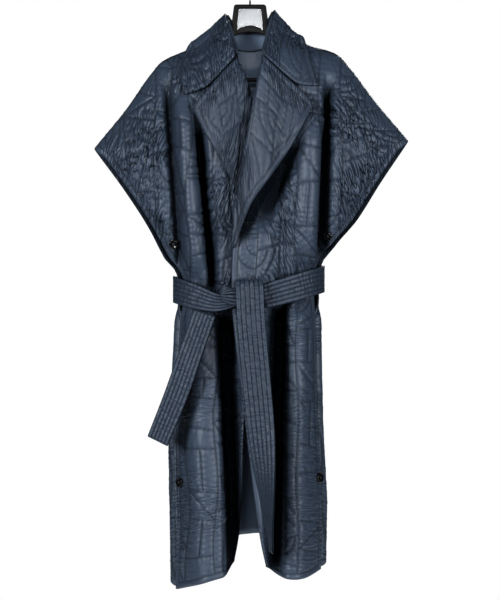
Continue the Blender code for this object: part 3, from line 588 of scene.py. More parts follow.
# Front edge of each front, from the neck down the roll of the lapel to the hem corner
RIGHT_FRONT_EDGE = (
    ("v", "x", "z"),
    (0.00, -0.0735, -0.132),
    (0.06, -0.033, -0.174),
    (0.15, 0.002, -0.285),
    (0.26, 0.012, -0.407),
    (0.41, 0.012, -0.575),
    (0.51, 0.006, -0.680),
    (0.72, -0.011, -0.932),
    (0.96, -0.021, -1.195),
    (1.00, -0.027, -1.228),
)
LEFT_FRONT_EDGE = (
    ("v", "x", "z"),
    (0.00, 0.0735, -0.128),
    (0.06, 0.034, -0.174),
    (0.15, 0.006, -0.285),
    (0.26, -0.0105, -0.407),
    (0.41, -0.036, -0.575),
    (0.50, -0.038, -0.665),
    (0.70, -0.014, -0.900),
    (0.95, 0.024, -1.190),
    (1.00, 0.032, -1.232),
)

# Hems, from the side to the front edge, and the back's from its right to its left
RIGHT_HEM = (
    ("u", "x", "z"),
    (0.00, -0.149, -1.283),
    (0.40, -0.086, -1.261),
    (0.80, -0.042, -1.245),
    (1.00, -0.027, -1.228),
)
LEFT_HEM = (
    ("u", "x", "z"),
    (0.00, 0.147, -1.242),
    (0.30, 0.112, -1.255),
    (0.65, 0.066, -1.253),
    (1.00, 0.032, -1.232),
)
BACK_HEM = (
    ("u", "x", "z"),
    (0.00, -0.164, -1.284),
    (0.25, -0.085, -1.215),
    (0.50, 0.000, -1.178),
    (0.75, 0.085, -1.190),
    (1.00, 0.157, -1.242),
)

# Depth of the coat away from the plane of the hanger
DEPTHS = (
    ("z", "front_edge", "back_edge", "front", "back"),
    (-0.10, 0.006, 0.006, 0.046, 0.046),
    (-0.20, 0.010, 0.010, 0.056, 0.060),
    (-0.32, 0.014, 0.014, 0.064, 0.074),
    (-0.46, 0.016, 0.012, 0.070, 0.080),
    (-0.60, 0.008, -0.002, 0.068, 0.078),
    (-0.70, 0.005, -0.010, 0.068, 0.078),
    (-0.90, 0.005, -0.012, 0.074, 0.090),
    (-1.29, 0.006, -0.012, 0.084, 0.104),
)

# Large folds: ridges stand out, gullies go in; lean carries the fold's foot sideways
FOLD_NAMES = ("name", "x_top", "z_top", "x_low", "z_low", "width", "rise", "lean", "fade_top", "fade_low")
RIGHT_FOLDS = (
    FOLD_NAMES,
    ("sleeve crease", -0.176, -0.185, -0.140, -0.630, 0.011, -0.024, 0.000, 0.10, 0.05),
    ("chest roll", -0.142, -0.230, -0.114, -0.640, 0.020, 0.024, 0.000, 0.10, 0.06),
    ("chest gully", -0.109, -0.285, -0.073, -0.670, 0.011, -0.055, -0.007, 0.09, 0.03),
    ("skirt roll", -0.112, -0.690, -0.092, -1.400, 0.034, 0.022, 0.000, 0.06, 0.02),
    ("skirt gully", -0.048, -0.690, -0.020, -1.500, 0.017, -0.070, -0.006, 0.05, 0.02),
    ("hip fold", -0.148, -0.700, -0.136, -1.250, 0.012, -0.014, 0.000, 0.10, 0.12),
)
LEFT_FOLDS = (
    FOLD_NAMES,
    ("sleeve gully", 0.166, -0.200, 0.149, -0.610, 0.011, -0.045, -0.006, 0.09, 0.05),
    ("chest roll", 0.128, -0.260, 0.118, -0.620, 0.026, 0.022, 0.000, 0.10, 0.06),
    ("lapel gully", 0.106, -0.320, 0.008, -0.560, 0.019, -0.030, 0.000, 0.10, 0.08),
    ("skirt roll", 0.106, -0.670, 0.098, -1.400, 0.034, 0.024, 0.000, 0.06, 0.02),
    ("skirt gully", 0.056, -0.670, 0.050, -1.290, 0.017, -0.070, 0.005, 0.05, 0.12),
)
BACK_FOLDS = (
    FOLD_NAMES,
    ("right sleeve crease", -0.180, -0.200, -0.128, -0.640, 0.014, -0.026, 0.000, 0.10, 0.05),
    ("left sleeve crease", 0.182, -0.190, 0.128, -0.620, 0.014, -0.026, 0.000, 0.10, 0.05),
    ("right shoulder roll", -0.100, -0.300, -0.076, -0.620, 0.026, 0.016, 0.000, 0.12, 0.08),
    ("left shoulder roll", 0.104, -0.300, 0.080, -0.620, 0.026, 0.016, 0.000, 0.12, 0.08),
    ("right skirt gully", -0.056, -0.690, -0.062, -1.400, 0.018, -0.040, 0.000, 0.08, 0.02),
    ("middle skirt gully", 0.012, -0.690, 0.006, -1.400, 0.020, -0.030, 0.000, 0.10, 0.02),
    ("left skirt gully", 0.074, -0.690, 0.070, -1.400, 0.018, -0.040, 0.000, 0.08, 0.02),
)

# The belt's middle line across the front, with the half height of the band there
BELT_LINE = (
    ("x", "z", "half"),
    (-0.160, -0.657, 0.0275),
    (-0.110, -0.674, 0.0250),
    (-0.070, -0.685, 0.0190),
    (-0.022, -0.680, 0.0130),
    (0.020, -0.674, 0.0230),
    (0.080, -0.658, 0.0265),
    (0.160, -0.634, 0.0275),
)

# Lapels, from the gorge seam down to the point where the roll starts
RIGHT_LAPEL = (
    ("b", "roll_x", "roll_z", "edge_x", "edge_z", "lift"),
    (0.00, -0.031, -0.1785, -0.120, -0.2800, 0.006),
    (0.30, -0.009, -0.243, -0.094, -0.334, 0.006),
    (0.60, 0.001, -0.304, -0.066, -0.382, 0.006),
    (0.85, -0.003, -0.386, -0.040, -0.430, 0.005),
    (1.00, -0.014, -0.458, -0.022, -0.464, 0.004),
)
LEFT_LAPEL = (
    ("b", "roll_x", "roll_z", "edge_x", "edge_z", "lift"),
    (0.00, 0.032, -0.1785, 0.1345, -0.2730, 0.007),
    (0.22, 0.018, -0.243, 0.112, -0.312, 0.010),
    (0.45, 0.006, -0.306, 0.084, -0.365, 0.011),
    (0.66, -0.009, -0.398, 0.043, -0.426, 0.010),
    (0.85, -0.026, -0.484, 0.000, -0.488, 0.007),
    (1.00, -0.037, -0.572, -0.030, -0.566, 0.006),
)

# Collar fall from the right front end round the back to the left one, higher at the back than in the solids
COLLAR = (
    ("t", "roll_x", "roll_z", "mid_x", "mid_z", "edge_x", "edge_z"),
    (0.00, -0.031, -0.1745, -0.088, -0.2395, -0.136, -0.254),
    (0.12, -0.039, -0.132, -0.094, -0.184, -0.147, -0.200),
    (0.25, -0.052, -0.080, -0.091, -0.115, -0.124, -0.140),
    (0.38, -0.035, -0.092, -0.085, -0.171, -0.120, -0.209),
    (0.50, 0.000, -0.110, 0.000, -0.171, 0.000, -0.212),
    (0.62, 0.035, -0.089, 0.086, -0.166, 0.122, -0.202),
    (0.75, 0.052, -0.072, 0.092, -0.116, 0.112, -0.127),
    (0.88, 0.040, -0.126, 0.094, -0.172, 0.127, -0.182),
    (1.00, 0.032, -0.1745, 0.098, -0.2350, 0.143, -0.235),
)

# Collar stand: its neck edge and its top edge, taller at the back than in the solids
STAND = (
    ("t", "low_x", "low_y", "low_z", "top_x", "top_y", "top_z"),
    (0.00, -0.025, -0.034, -0.168, -0.024, -0.034, -0.160),
    (0.15, -0.046, -0.016, -0.142, -0.034, -0.012, -0.122),
    (0.28, -0.061, 0.000, -0.124, -0.046, 0.000, -0.0815),
    (0.40, -0.040, 0.030, -0.146, -0.030, 0.020, -0.100),
    (0.50, 0.000, 0.040, -0.154, 0.000, 0.026, -0.115),
    (0.60, 0.040, 0.030, -0.144, 0.030, 0.020, -0.097),
    (0.72, 0.061, 0.000, -0.120, 0.046, 0.000, -0.0745),
    (0.85, 0.046, -0.016, -0.140, 0.034, -0.012, -0.118),
    (1.00, 0.025, -0.034, -0.168, 0.024, -0.034, -0.160),
)

# Belt ends: the middle line of each tail, its width and how far it is turned
LONG_TAIL = (
    ("s", "x", "y", "z", "width", "turn"),
    (0.00, -0.003, -0.1080, -0.6455, 0.053, 0),
    (0.02, -0.002, -0.1170, -0.6430, 0.055, 0),
    (0.05, -0.001, -0.1240, -0.652, 0.057, 0),
    (0.14, 0.001, -0.1270, -0.700, 0.058, 0),
    (0.40, 0.014, -0.1290, -0.850, 0.058, 4),
    (0.62, 0.025, -0.1300, -0.960, 0.057, 20),
    (0.78, 0.033, -0.1310, -1.050, 0.056, 48),
    (0.92, 0.041, -0.1310, -1.140, 0.052, 74),
    (1.00, 0.045, -0.1300, -1.196, 0.040, 82),
)
SHORT_TAIL = (
    ("s", "x", "y", "z", "width", "turn"),
    (0.00, -0.092, -0.0955, -0.7070, 0.050, 18),
    (0.30, -0.121, -0.1040, -0.790, 0.051, 20),
    (0.65, -0.151, -0.0980, -0.875, 0.051, 20),
    (1.00, -0.190, -0.0860, -0.971, 0.048, 22),
)

# Knot: the turn of the belt that the long tail falls over
KNOT = (
    ("s", "x", "y", "z", "half_y", "half_z"),
    (0.00, -0.060, -0.1065, -0.671, 0.0030, 0.0090),
    (0.30, -0.036, -0.1130, -0.673, 0.0045, 0.0185),
    (0.60, -0.004, -0.1140, -0.673, 0.0045, 0.0180),
    (1.00, 0.028, -0.1120, -0.673, 0.0035, 0.0175),
)

# Buttons on the fronts' side edges: x and z of the middle
BUTTONS = (
    ("name", "x", "z"),
    ("button_right_upper", -0.1628, -0.562),
    ("button_right_lower", -0.1400, -1.060),
    ("button_left_upper", 0.1680, -0.545),
    ("button_left_lower", 0.1400, -1.050),
)

# Hanger arm: distance out, height of its middle, and the half sizes of its section
HANGER_ARM = (
    ("out", "z", "half_y", "half_z"),
    (0.032, -0.124, 0.0055, 0.0060),
    (0.060, -0.145, 0.008, 0.0065),
    (0.110, -0.176, 0.013, 0.0080),
    (0.150, -0.199, 0.018, 0.0095),
    (0.174, -0.215, 0.019, 0.0095),
)

# Tables of each side
FOLDS = {"right": RIGHT_FOLDS, "left": LEFT_FOLDS, "back": BACK_FOLDS}
FRONT_EDGES = {
    "right": (-1, RIGHT_SHOULDER, RIGHT_EDGE, RIGHT_HEM, RIGHT_FRONT_EDGE),
    "left": (1, LEFT_SHOULDER, LEFT_EDGE, LEFT_HEM, LEFT_FRONT_EDGE),
}
LAPEL_TABLES = {"right": RIGHT_LAPEL, "left": LEFT_LAPEL}
TAILS = (
    ("name", "table", "seed"),
    ("belt_tail_long", LONG_TAIL, 52),
    ("belt_tail_short", SHORT_TAIL, 53),
)


def column(table, name):
    """Values of a named column; a table's first row holds the names."""
    place = table[0].index(name)
    return np.array([row[place] for row in table[1:]])


def spline(keys, values, at):
    """Smooth curve through the values at rising keys."""
    keys = np.asarray(keys, float)
    values = np.asarray(values, float)
    slope = np.gradient(values, keys)
    at = np.asarray(at, float)
    i = np.clip(np.searchsorted(keys, at, side="right") - 1, 0, len(keys) - 2)
    span = keys[i + 1] - keys[i]
    t = np.clip((at - keys[i]) / span, 0.0, 1.0)
    start = (1 + 2 * t) * (1 - t) ** 2 * values[i] + t * (1 - t) ** 2 * span * slope[i]
    end = t * t * (3 - 2 * t) * values[i + 1] + t * t * (t - 1) * span * slope[i + 1]
    return start + end


def along(table, key, names, at):
    """Smooth curves through several columns of a table, side by side."""
    keys = column(table, key)
    order = np.argsort(keys)
    return np.stack([spline(keys[order], column(table, n)[order], at) for n in names], axis=-1)


def smooth(t):
    """Soft step from 0 to 1."""
    t = np.clip(t, 0.0, 1.0)
    return t * t * (3 - 2 * t)


def rising(least, share):
    """A share of the way from a least value up to 1."""
    return least + (1 - least) * share


def circle(count):
    """Even turns round a circle."""
    return np.linspace(0.0, 2 * np.pi, count, endpoint=False)


def lengths_along(points):
    """Distance of each point of a line from its start."""
    steps = np.linalg.norm(np.diff(points, axis=0), axis=1)
    return np.concatenate([[0.0], np.cumsum(steps)])


def at_lengths(at, run, values):
    """Rows of values at places along a line whose points lie at the lengths of run."""
    return np.stack([np.interp(at, run, values[:, k]) for k in range(values.shape[1])], axis=-1)


def reach(sign, z):
    """Half width of the coat on one side at a height."""
    shoulder, edge = (RIGHT_SHOULDER, RIGHT_EDGE) if sign < 0 else (LEFT_SHOULDER, LEFT_EDGE)
    heights = np.concatenate([column(shoulder, "z"), column(edge, "z")[1:]])
    outs = np.concatenate([column(shoulder, "out"), column(edge, "out")[1:]])
    return np.interp(-z, -heights, outs)


def shoulder_height(sign, x, dip):
    """Height of the shoulder line above a point; inside the neck the line dips."""
    table = RIGHT_SHOULDER if sign < 0 else LEFT_SHOULDER
    out = np.abs(x)
    line = np.interp(out, column(table, "out"), column(table, "z"))
    inside = column(table, "z")[0] - dip * (1 - np.clip(out / NECK_HALF, 0, 1) ** 2)
    return np.where(out < NECK_HALF, inside, line)


def fold_shift(folds, x, z):
    """How far the folds bring the cloth out, and how far they carry it sideways."""
    rise = np.zeros_like(x)
    side = np.zeros_like(x)
    for fold in folds[1:]:
        row = dict(zip(folds[0], fold))
        t = (z - row["z_top"]) / (row["z_low"] - row["z_top"])
        middle = row["x_top"] + t * (row["x_low"] - row["x_top"])
        fade = smooth((row["z_top"] - z) / row["fade_top"]) * smooth((z - row["z_low"]) / row["fade_low"])
        width = row["width"] * (GULLY_OPEN if row["rise"] < 0 else 1.0)
        power = GULLY_POWER if row["rise"] < 0 else 2
        shape = fade * np.exp(-np.abs((x - middle) / width) ** power)
        rise += row["rise"] * shape
        side += row["lean"] * shape
    return rise, side


def belt_reach(x, half_depth):
    """Distance of the belt's inside from the hanger's plane."""
    share = np.clip(np.abs(x - BELT_MIDDLE) / BELT_HALF_WIDTH, 0, 1)
    return half_depth * (1 - share ** BELT_POWER) ** (1 / BELT_POWER)


def belt_height(x, face):
    """Height of the belt's middle and its half height."""
    places = column(BELT_LINE, "x")
    x = np.clip(x, places[0], places[-1])
    if face == "back":
        heights = column(BELT_LINE, "z")
        return np.interp(x, places[[0, -1]], heights[[0, -1]]), np.full_like(x, BELT_HALF_HEIGHT)
    band = along(BELT_LINE, "x", ("z", "half"), x)
    return band[..., 0], band[..., 1]


def side_of(panel, x):
    """-1 on the coat's right side and 1 on its left side."""
    if panel == "back":
        return np.where(x < 0, -1.0, 1.0)
    return np.full_like(x, FRONT_EDGES[panel][0])


def face_of(panel):
    return "back" if panel == "back" else "front"


def by_side(panel, x, function):
    """A value that has its own table on each side of the coat."""
    side = side_of(panel, x)
    return np.where(side < 0, function(-1), function(1))


def body_depth(panel, x, z):
    """Depth of a panel without its folds and without the rounding over the shoulder."""
    face = face_of(panel)
    depths = along(DEPTHS, "z", (face + "_edge", face), z)
    share = np.clip(np.abs(x) / by_side(panel, x, lambda s: reach(s, z)), 0, 1)
    return depths[..., 0] + (depths[..., 1] - depths[..., 0]) * (1 - share ** 2) ** DEPTH_POWER


def drop_below_shoulder(panel, x, z):
    """How far a point lies below the shoulder line."""
    dip = NECK_DIP if panel == "back" else 0.0
    return by_side(panel, x, lambda s: shoulder_height(s, x, dip)) - z


def plain_depth(panel, x, z):
    """Depth of a panel without its folds."""
    fall = drop_below_shoulder(panel, x, z)
    round_top = np.sqrt(1 - (1 - np.clip(fall / SHOULDER_ROUND, 0, 1)) ** 2)
    depth = body_depth(panel, x, z) * round_top
    if panel == "back":
        neck = NECK_BACK * np.sqrt(np.clip(1 - (x / NECK_HALF) ** 2, 0, 1))
        depth = np.where(np.abs(x) < NECK_HALF, np.maximum(depth, neck), depth)
    if panel == "left":
        lift = LOW_LIFT + (OVERLAP_LIFT - LOW_LIFT) * smooth((z - LOW_LIFT_Z) / LOW_LIFT_SOFT)
        depth = depth + lift * smooth((OVERLAP_FROM - x) / OVERLAP_SOFT) * smooth(fall / OVERLAP_SOFT)
    if panel == "right":
        depth = depth - UNDER_DROP * smooth((x - UNDER_FROM) / UNDER_SOFT) * smooth(fall / OVERLAP_SOFT)
    return depth


def press_under_belt(panel, x, z, depth):
    """Cloth under the belt lies within it."""
    half_depth = BELT_BACK if panel == "back" else BELT_FRONT
    middle, half = belt_height(x, face_of(panel))
    weight = smooth((half + BELT_PRESS - np.abs(z - middle)) / BELT_PRESS)
    room = WALL + SOLID_PUFF + BELT_ROOM
    if panel == "right":
        room = room + BELT_LAP * smooth((x - BELT_LAP_FROM) / OVERLAP_SOFT)
    limit = belt_reach(x, half_depth) - room
    return depth + weight * (np.minimum(depth, limit) - depth)


def wrap_side(x, depth, z):
    """Bend the back's side edges forward below the belt, to lie under the fronts' edges."""
    sign = np.where(x < 0, -1.0, 1.0)
    wide = np.where(x < 0, reach(-1, z), reach(1, z))
    start = WRAP_FROM * wide
    share = np.clip((np.abs(x) - start) / (wide - start), 0, 1)
    begin = np.where(share > 0, plain_depth("back", sign * start, z), depth)
    first = (1 - share) ** 2
    second = 2 * share * (1 - share)
    third = share ** 2
    out = first * start + second * (wide + WRAP_BULGE) + third * (wide - WRAP_UNDER)
    deep = first * begin + second * WRAP_BEND + third * WRAP_END
    weight = smooth((WRAP_TOP - z) / WRAP_FADE) * (share > 0)
    return x + weight * (sign * out - x), depth + weight * (deep - depth)


def draped(panel, x, z):
    """Points of a panel's inside where the flat view shows x and z."""
    rise, side = fold_shift(FOLDS[panel], x, z)
    plain = plain_depth(panel, x, z)
    fall = by_side(panel, x, lambda s: shoulder_height(s, x, 0.0)) - z
    depth = plain + rise * smooth(fall / FOLD_SOFT)
    depth = press_under_belt(panel, x, z, depth)
    depth = np.maximum(depth, np.minimum(plain, LEAST_DEPTH))
    if panel == "back":
        x, depth = wrap_side(x, depth, z)
    y = depth + SEAM_GAP
    return np.stack([x + side, y if panel == "back" else -y, z], axis=-1)


def back_edges(u, v):
    """Upper, lower, right and left edge of the back as seen from the front."""
    right = along(RIGHT_SHOULDER, "u", ("out", "z"), np.clip(u / BACK_SHOULDER, 0, 1)) * (-1, 1)
    left = along(LEFT_SHOULDER, "u", ("out", "z"), np.clip((1 - u) / BACK_SHOULDER, 0, 1))
    share = np.clip((u - BACK_SHOULDER) / (1 - 2 * BACK_SHOULDER), 0, 1)[:, None]
    neck = right * (1 - share) + left * share
    neck[:, 1] -= NECK_DIP * 4 * share[:, 0] * (1 - share[:, 0])
    top = np.where(share <= 0, right, np.where(share >= 1, left, neck))
    bottom = along(BACK_HEM, "u", ("x", "z"), u)
    start = along(RIGHT_EDGE, "v", ("out", "z"), v) * (-1, 1)
    end = along(LEFT_EDGE, "v", ("out", "z"), v)
    return top, bottom, start, end


def front_edges(panel, u, v):
    """Upper, lower, side and front edge of a front as seen from the front."""
    sign, shoulder, edge, hem, front_edge = FRONT_EDGES[panel]
    top = along(shoulder, "u", ("out", "z"), u) * (sign, 1)
    bottom = along(hem, "u", ("x", "z"), u)
    start = along(edge, "v", ("out", "z"), v)
    start[:, 0] -= FRONT_INSET * smooth(v / INSET_SOFT)
    start = start * (sign, 1)
    end = along(front_edge, "v", ("x", "z"), v)
    bottom[0] = start[-1]
    return top, bottom, start, end


def flat_points(panel, u, v):
    """Places inside the four edges of a panel as seen from the front."""
    top, bottom, start, end = back_edges(u, v) if panel == "back" else front_edges(panel, u, v)
    u = u[None, :, None]
    v = v[:, None, None]
    upper = (1 - u) * top[0] + u * top[-1]
    lower = (1 - u) * bottom[0] + u * bottom[-1]
    between = (1 - u) * start[:, None] + u * end[:, None]
    return (1 - v) * (top[None] - upper) + v * (bottom[None] - lower) + between


def even_rows(points, columns):
    """Each row of points again, at even steps along the cloth."""
    rows = []
    for row in points:
        run = lengths_along(row[:, :3])
        rows.append(at_lengths(np.linspace(0.0, run[-1], columns + 1), run, row))
    return np.array(rows)


def grid_normals(grid, outward):
    """Unit normals of a grid, turned to the side that outward names."""
    across = np.gradient(grid, axis=1)
    down = np.gradient(grid, axis=0)
    normal = np.cross(across, down) * outward
    return normal / np.linalg.norm(normal, axis=-1, keepdims=True)


def cloth_top(panel, x, z):
    """Depth of a panel's outside without its gullies."""
    rise, _ = fold_shift(FOLDS[panel], x, z)
    depth = plain_depth(panel, x, z) + np.maximum(rise, 0.0)
    return press_under_belt(panel, x, z, depth) + WALL + SOLID_PUFF


def collar_grid(rows, columns):
    """Inside of the collar fall, round the neck and down from the roll to its outer edge."""
    t = np.linspace(0.0, 1.0, rows + 1)
    t = t + COLLAR_CROWD * np.sin(4 * np.pi * t)
    c = np.linspace(0.0, 1.0, columns + 1)
    stations = along(COLLAR, "t", ("roll_x", "roll_z", "mid_x", "mid_z", "edge_x", "edge_z"), t)
    keys = (0.0, COLLAR_MID, 1.0)
    grid = np.zeros((rows + 1, columns + 1, 3))
    for j, row in enumerate(stations):
        x = np.interp(c, keys, row[0::2])
        z = np.interp(c, keys, row[1::2])
        from_middle = abs(t[j] - 0.5)
        back = from_middle < COLLAR_SIDE
        panel = "back" if back else ("right" if t[j] < 0.5 else "left")
        fall = drop_below_shoulder(panel, x, z)
        spare = np.interp(c, keys, COLLAR_SPARE)
        tall = SHOULDER_ROUND + spare
        rise = np.sqrt(1 - np.clip((SHOULDER_ROUND - fall) / tall, 0, 1) ** 2)
        turn = np.clip(abs(from_middle - COLLAR_SIDE) / COLLAR_TURN, 0, 1)
        depth = (body_depth(panel, x, z) + COLLAR_LIFT) * rise * np.sin(0.5 * np.pi * turn)
        if turn > 0:
            gap = COLLAR_BACK_GAP if back else COLLAR_GAP
            cloth = plain_depth(panel, x, np.minimum(z, z + fall)) + gap
            depth = np.maximum(depth, cloth * smooth((fall + COLLAR_CLEAR) / COLLAR_SOFT))
        grid[j] = np.stack([x, depth if back else -depth, z], axis=-1)
    return grid


def blurred(values, times):
    """Values on a grid, evened out with their neighbours."""
    for _ in range(times):
        wide = np.pad(values, ((1, 1), (1, 1), (0, 0)), mode="reflect", reflect_type="odd")
        around = wide[:-2, 1:-1] + wide[2:, 1:-1] + wide[1:-1, :-2] + wide[1:-1, 2:]
        values = (around + 2 * values) / 6
    return values


def unit(vectors):
    """Vectors of length 1."""
    return vectors / np.linalg.norm(vectors, axis=-1, keepdims=True)


def even_normals(grid, outward):
    """Normals that turn gently, so that a wall set off along them does not cross itself in a fold."""
    return unit(blurred(grid_normals(grid, outward), EVEN_NORMALS))


def row_lengths(grid):
    """Distance of each point along its row."""
    steps = np.linalg.norm(np.diff(grid, axis=1), axis=-1)
    return np.concatenate([np.zeros((len(grid), 1)), np.cumsum(steps, axis=1)], axis=1)


def column_lengths(grid):
    """Distance of each point along its column."""
    return row_lengths(grid.transpose(1, 0, 2)).T


def grid_places(grid):
    """Places of a grid's points on the flat cloth: across and down."""
    return np.stack([row_lengths(grid), column_lengths(grid)], axis=-1)


def edge_distance(grid, edges):
    """Distance of each point along the cloth from the nearest of the named edges."""
    across = row_lengths(grid)
    down = column_lengths(grid)
    away = {"start": across, "end": across[:, -1:] - across, "top": down, "low": down[-1:] - down}
    return np.minimum.reduce([away[name] for name in edges])


def noise(seed, s, t):
    """Smooth random heights from -1 to 1 over a plane."""
    heights = np.random.default_rng(seed).uniform(-1.0, 1.0, (NOISE_SIZE, NOISE_SIZE))
    i = np.floor(s).astype(int)
    j = np.floor(t).astype(int)
    fs = smooth(s - i)
    ft = smooth(t - j)
    i0, i1 = i % NOISE_SIZE, (i + 1) % NOISE_SIZE
    j0, j1 = j % NOISE_SIZE, (j + 1) % NOISE_SIZE
    first = heights[i0, j0] * (1 - fs) + heights[i1, j0] * fs
    second = heights[i0, j1] * (1 - fs) + heights[i1, j1] * fs
    return first * (1 - ft) + second * ft


def quilt_lines(low, high, seed):
    """Quilting lines between two corners of the flat cloth.

    Wandering lines run down, tilted ones across, and some patches between them have lines of their own.
    """
    draw = random.Random(seed)
    left, top = low
    right, bottom = high
    downs = []
    place = left - draw.uniform(*PATCH_START) * PATCH
    while place < right + PATCH:
        downs.append((place, draw.uniform(*WANDER_SHARE) * WANDER, draw.uniform(0.0, 2 * math.pi)))
        place += PATCH * draw.uniform(*PATCH_WIDE)

    def on_line(k, t):
        middle, swing, turn = downs[k]
        return middle + swing * math.sin(2 * math.pi * t / WANDER_STEP + turn), t

    lines = []
    for k in range(len(downs)):
        steps = np.arange(top, bottom + LINE_STEP, LINE_STEP)
        lines.append(np.array([on_line(k, t) for t in steps]))
    for k in range(len(downs) - 1):
        t = top - draw.uniform(0.0, PATCH)
        tilt = draw.uniform(*PATCH_TILT) * PATCH
        while t < bottom:
            upper = np.array([on_line(k, t), on_line(k + 1, t + tilt)])
            lines.append(upper)
            t += PATCH * draw.uniform(*PATCH_LONG)
            tilt = draw.uniform(*PATCH_TILT) * PATCH
            lower = np.array([on_line(k, t), on_line(k + 1, t + tilt)])
            lines.extend(patch_filling(draw, upper, lower))
    return lines


def patch_filling(draw, upper, lower):
    """Lines inside one patch, which lies between its upper and its lower side."""
    kind = draw.choices(PATCH_KINDS, weights=PATCH_WEIGHTS)[0]
    flip = draw.random() < 0.5
    (a, b), (c, d) = (upper[::-1], lower[::-1]) if flip else (upper, lower)
    if kind == "slant":
        return [np.array([a, d])]
    if kind == "split":
        return [np.array([(a + b) / 2, (c + d) / 2])]
    if kind == "fan":
        turns = np.linspace(0.0, math.pi / 2, FAN_STEPS + 1)[:, None]
        arc = np.cos(turns) * (b - a) + np.sin(turns) * (c - a)
        return [a + share * arc for share in FAN_SHARES]
    return []


def nearest_line(places, lines):
    """Distance of each place from the nearest line, and how far along that line it lies."""
    gap = np.full(len(places), QUILT_REACH)
    run = np.zeros(len(places))
    order = np.argsort(places[:, 1])
    heights = places[order, 1]
    for k, line in enumerate(lines):
        done = k * RUN_OFFSET
        for a, b in zip(line, line[1:]):
            lo = np.minimum(a, b) - QUILT_REACH
            hi = np.maximum(a, b) + QUILT_REACH
            first, last = np.searchsorted(heights, (lo[1], hi[1]))
            near = order[first:last]
            near = near[(places[near, 0] > lo[0]) & (places[near, 0] < hi[0])]
            step = b - a
            length = math.hypot(*step)
            t = np.clip((places[near] - a) @ step / length ** 2, 0.0, 1.0)
            away = np.linalg.norm(places[near] - a - t[:, None] * step, axis=1)
            closer = away < gap[near]
            gap[near[closer]] = away[closer]
            run[near[closer]] = done + t[closer] * length
            done += length
    return gap, run


def crumple(places, seed):
    """How crumpled the cloth is, from 0 to 1, in patches."""
    patches = noise(seed + 4, places[..., 0] / CRUMPLE_SIZE, places[..., 1] / CRUMPLE_SIZE)
    return smooth(0.5 + CRUMPLE_SPREAD * patches)


def panel_crumple(grid, places, rise, level, seed):
    """A panel is most crumpled on its sleeve, and calm at the shoulder, low down and on its rolls."""
    sleeve = smooth((np.abs(grid[..., 0]) - SLEEVE_FROM) / SLEEVE_SOFT)
    sleeve = sleeve * smooth((grid[..., 2] - SLEEVE_LOW) / SLEEVE_LOW_SOFT)
    calm = smooth(edge_distance(grid, ("top",)) / SHOULDER_CALM)
    roll = (ROLL_CALM + (LEVEL_ROLL - ROLL_CALM) * level) * smooth(rise / ROLL_FULL)
    calm = calm * (1 - LEVEL_CALM * level) * (1 - roll)
    return np.clip(crumple(places, seed) + SLEEVE_CRUMPLE * sleeve, 0.0, MOST_CRUMPLED) * calm


def wrinkles(places, seed, level):
    """Soft ridges with sharp valleys between them, running down or across."""
    s, t = places[..., 0], places[..., 1]
    bend = WRINKLE_BEND * noise(seed + 1, s / WRINKLE_BEND_SIZE, t / WRINKLE_BEND_SIZE)
    down = np.abs(noise(seed + 2, (s + bend) / WRINKLE_STEP, t / WRINKLE_RUN))
    across = np.abs(noise(seed + 3, s / WRINKLE_RUN, (t + bend) / WRINKLE_STEP))
    return ((1 - level) * down + level * across) ** (WRINKLE_SHARP + LEVEL_BLUNT * level)


def quilted_height(places, leaned, edge, lines, seed, level, rough):
    """Height of quilted cloth over its wall, and how much painted shade each point gets in the seams' grooves and the
    wrinkles' valleys.

    places are the cloth's own coordinates, leaned the same for its wrinkles, edge the distance from the
    cut edges, level the share of wrinkles that run across instead of down, and rough how strong they are.
    """
    shape = edge.shape
    gap, run = nearest_line(places.reshape(-1, 2), lines)
    gap = np.minimum(gap.reshape(shape), np.abs(edge - BAND))
    inside = smooth((edge - BAND) / BAND)
    gap = np.where(edge < BAND, BAND - edge, gap)
    run = run.reshape(shape)
    puff = 1 - np.exp(-(gap / PUFF_WIDTH) ** PUFF_POWER)
    sway = PUCKER_SWAY * noise(seed, run / PUCKER_SWAY_RUN, run * 0)
    wave = np.sin(2 * np.pi * run / PUCKER_STEP + sway)
    pucker = inside * wave * np.exp(-gap / PUCKER_REACH) * puff
    ridge = wrinkles(leaned, seed, level)
    height = PUFF * puff + PUCKER * pucker + WRINKLE * inside * puff * rough * ridge
    # Painted shade: darker in the wrinkles' valleys and in the quilting lines' grooves
    valley_shade = VALLEY_PAINTED_SHADE * inside * rough * np.exp(-(ridge / VALLEY) ** 2) * (1 + (LEVEL_VALLEY - 1) * level)
    return height, np.maximum(SEAM_PAINTED_SHADE * np.exp(-(gap / SEAM_WIDTH) ** 2), valley_shade)


def add_object(name, data):
    made = bpy.data.objects.new(name, data)
    bpy.context.collection.objects.link(made)
    return made


def add_mesh(name, verts, faces, materials):
    mesh = bpy.data.meshes.new(name)
    mesh.from_pydata(verts, [], faces)
    for surface in materials:
        mesh.materials.append(surface)
    mesh.shade_smooth()
    return add_object(name, mesh)


def point_outward(made):
    """Turn a closed mesh's faces outward."""
    bm = bmesh.new()
    bm.from_mesh(made.data)
    bmesh.ops.recalc_face_normals(bm, faces=bm.faces)
    bm.to_mesh(made.data)
    bm.free()
    return made


def tube_faces(rings, around):
    """Faces of a closed tube through rings of points, with its two ends."""
    faces = []
    for k in range(rings - 1):
        for i in range(around):
            n = (i + 1) % around
            faces.append((k * around + i, k * around + n, (k + 1) * around + n, (k + 1) * around + i))
    faces.append(tuple(range(around))[::-1])
    faces.append(tuple((rings - 1) * around + i for i in range(around)))
    return faces


def add_tube(name, rings, surface):
    """A closed tube through rings of points."""
    faces = tube_faces(*rings.shape[:2])
    return point_outward(add_mesh(name, rings.reshape(-1, 3).tolist(), faces, (surface,)))


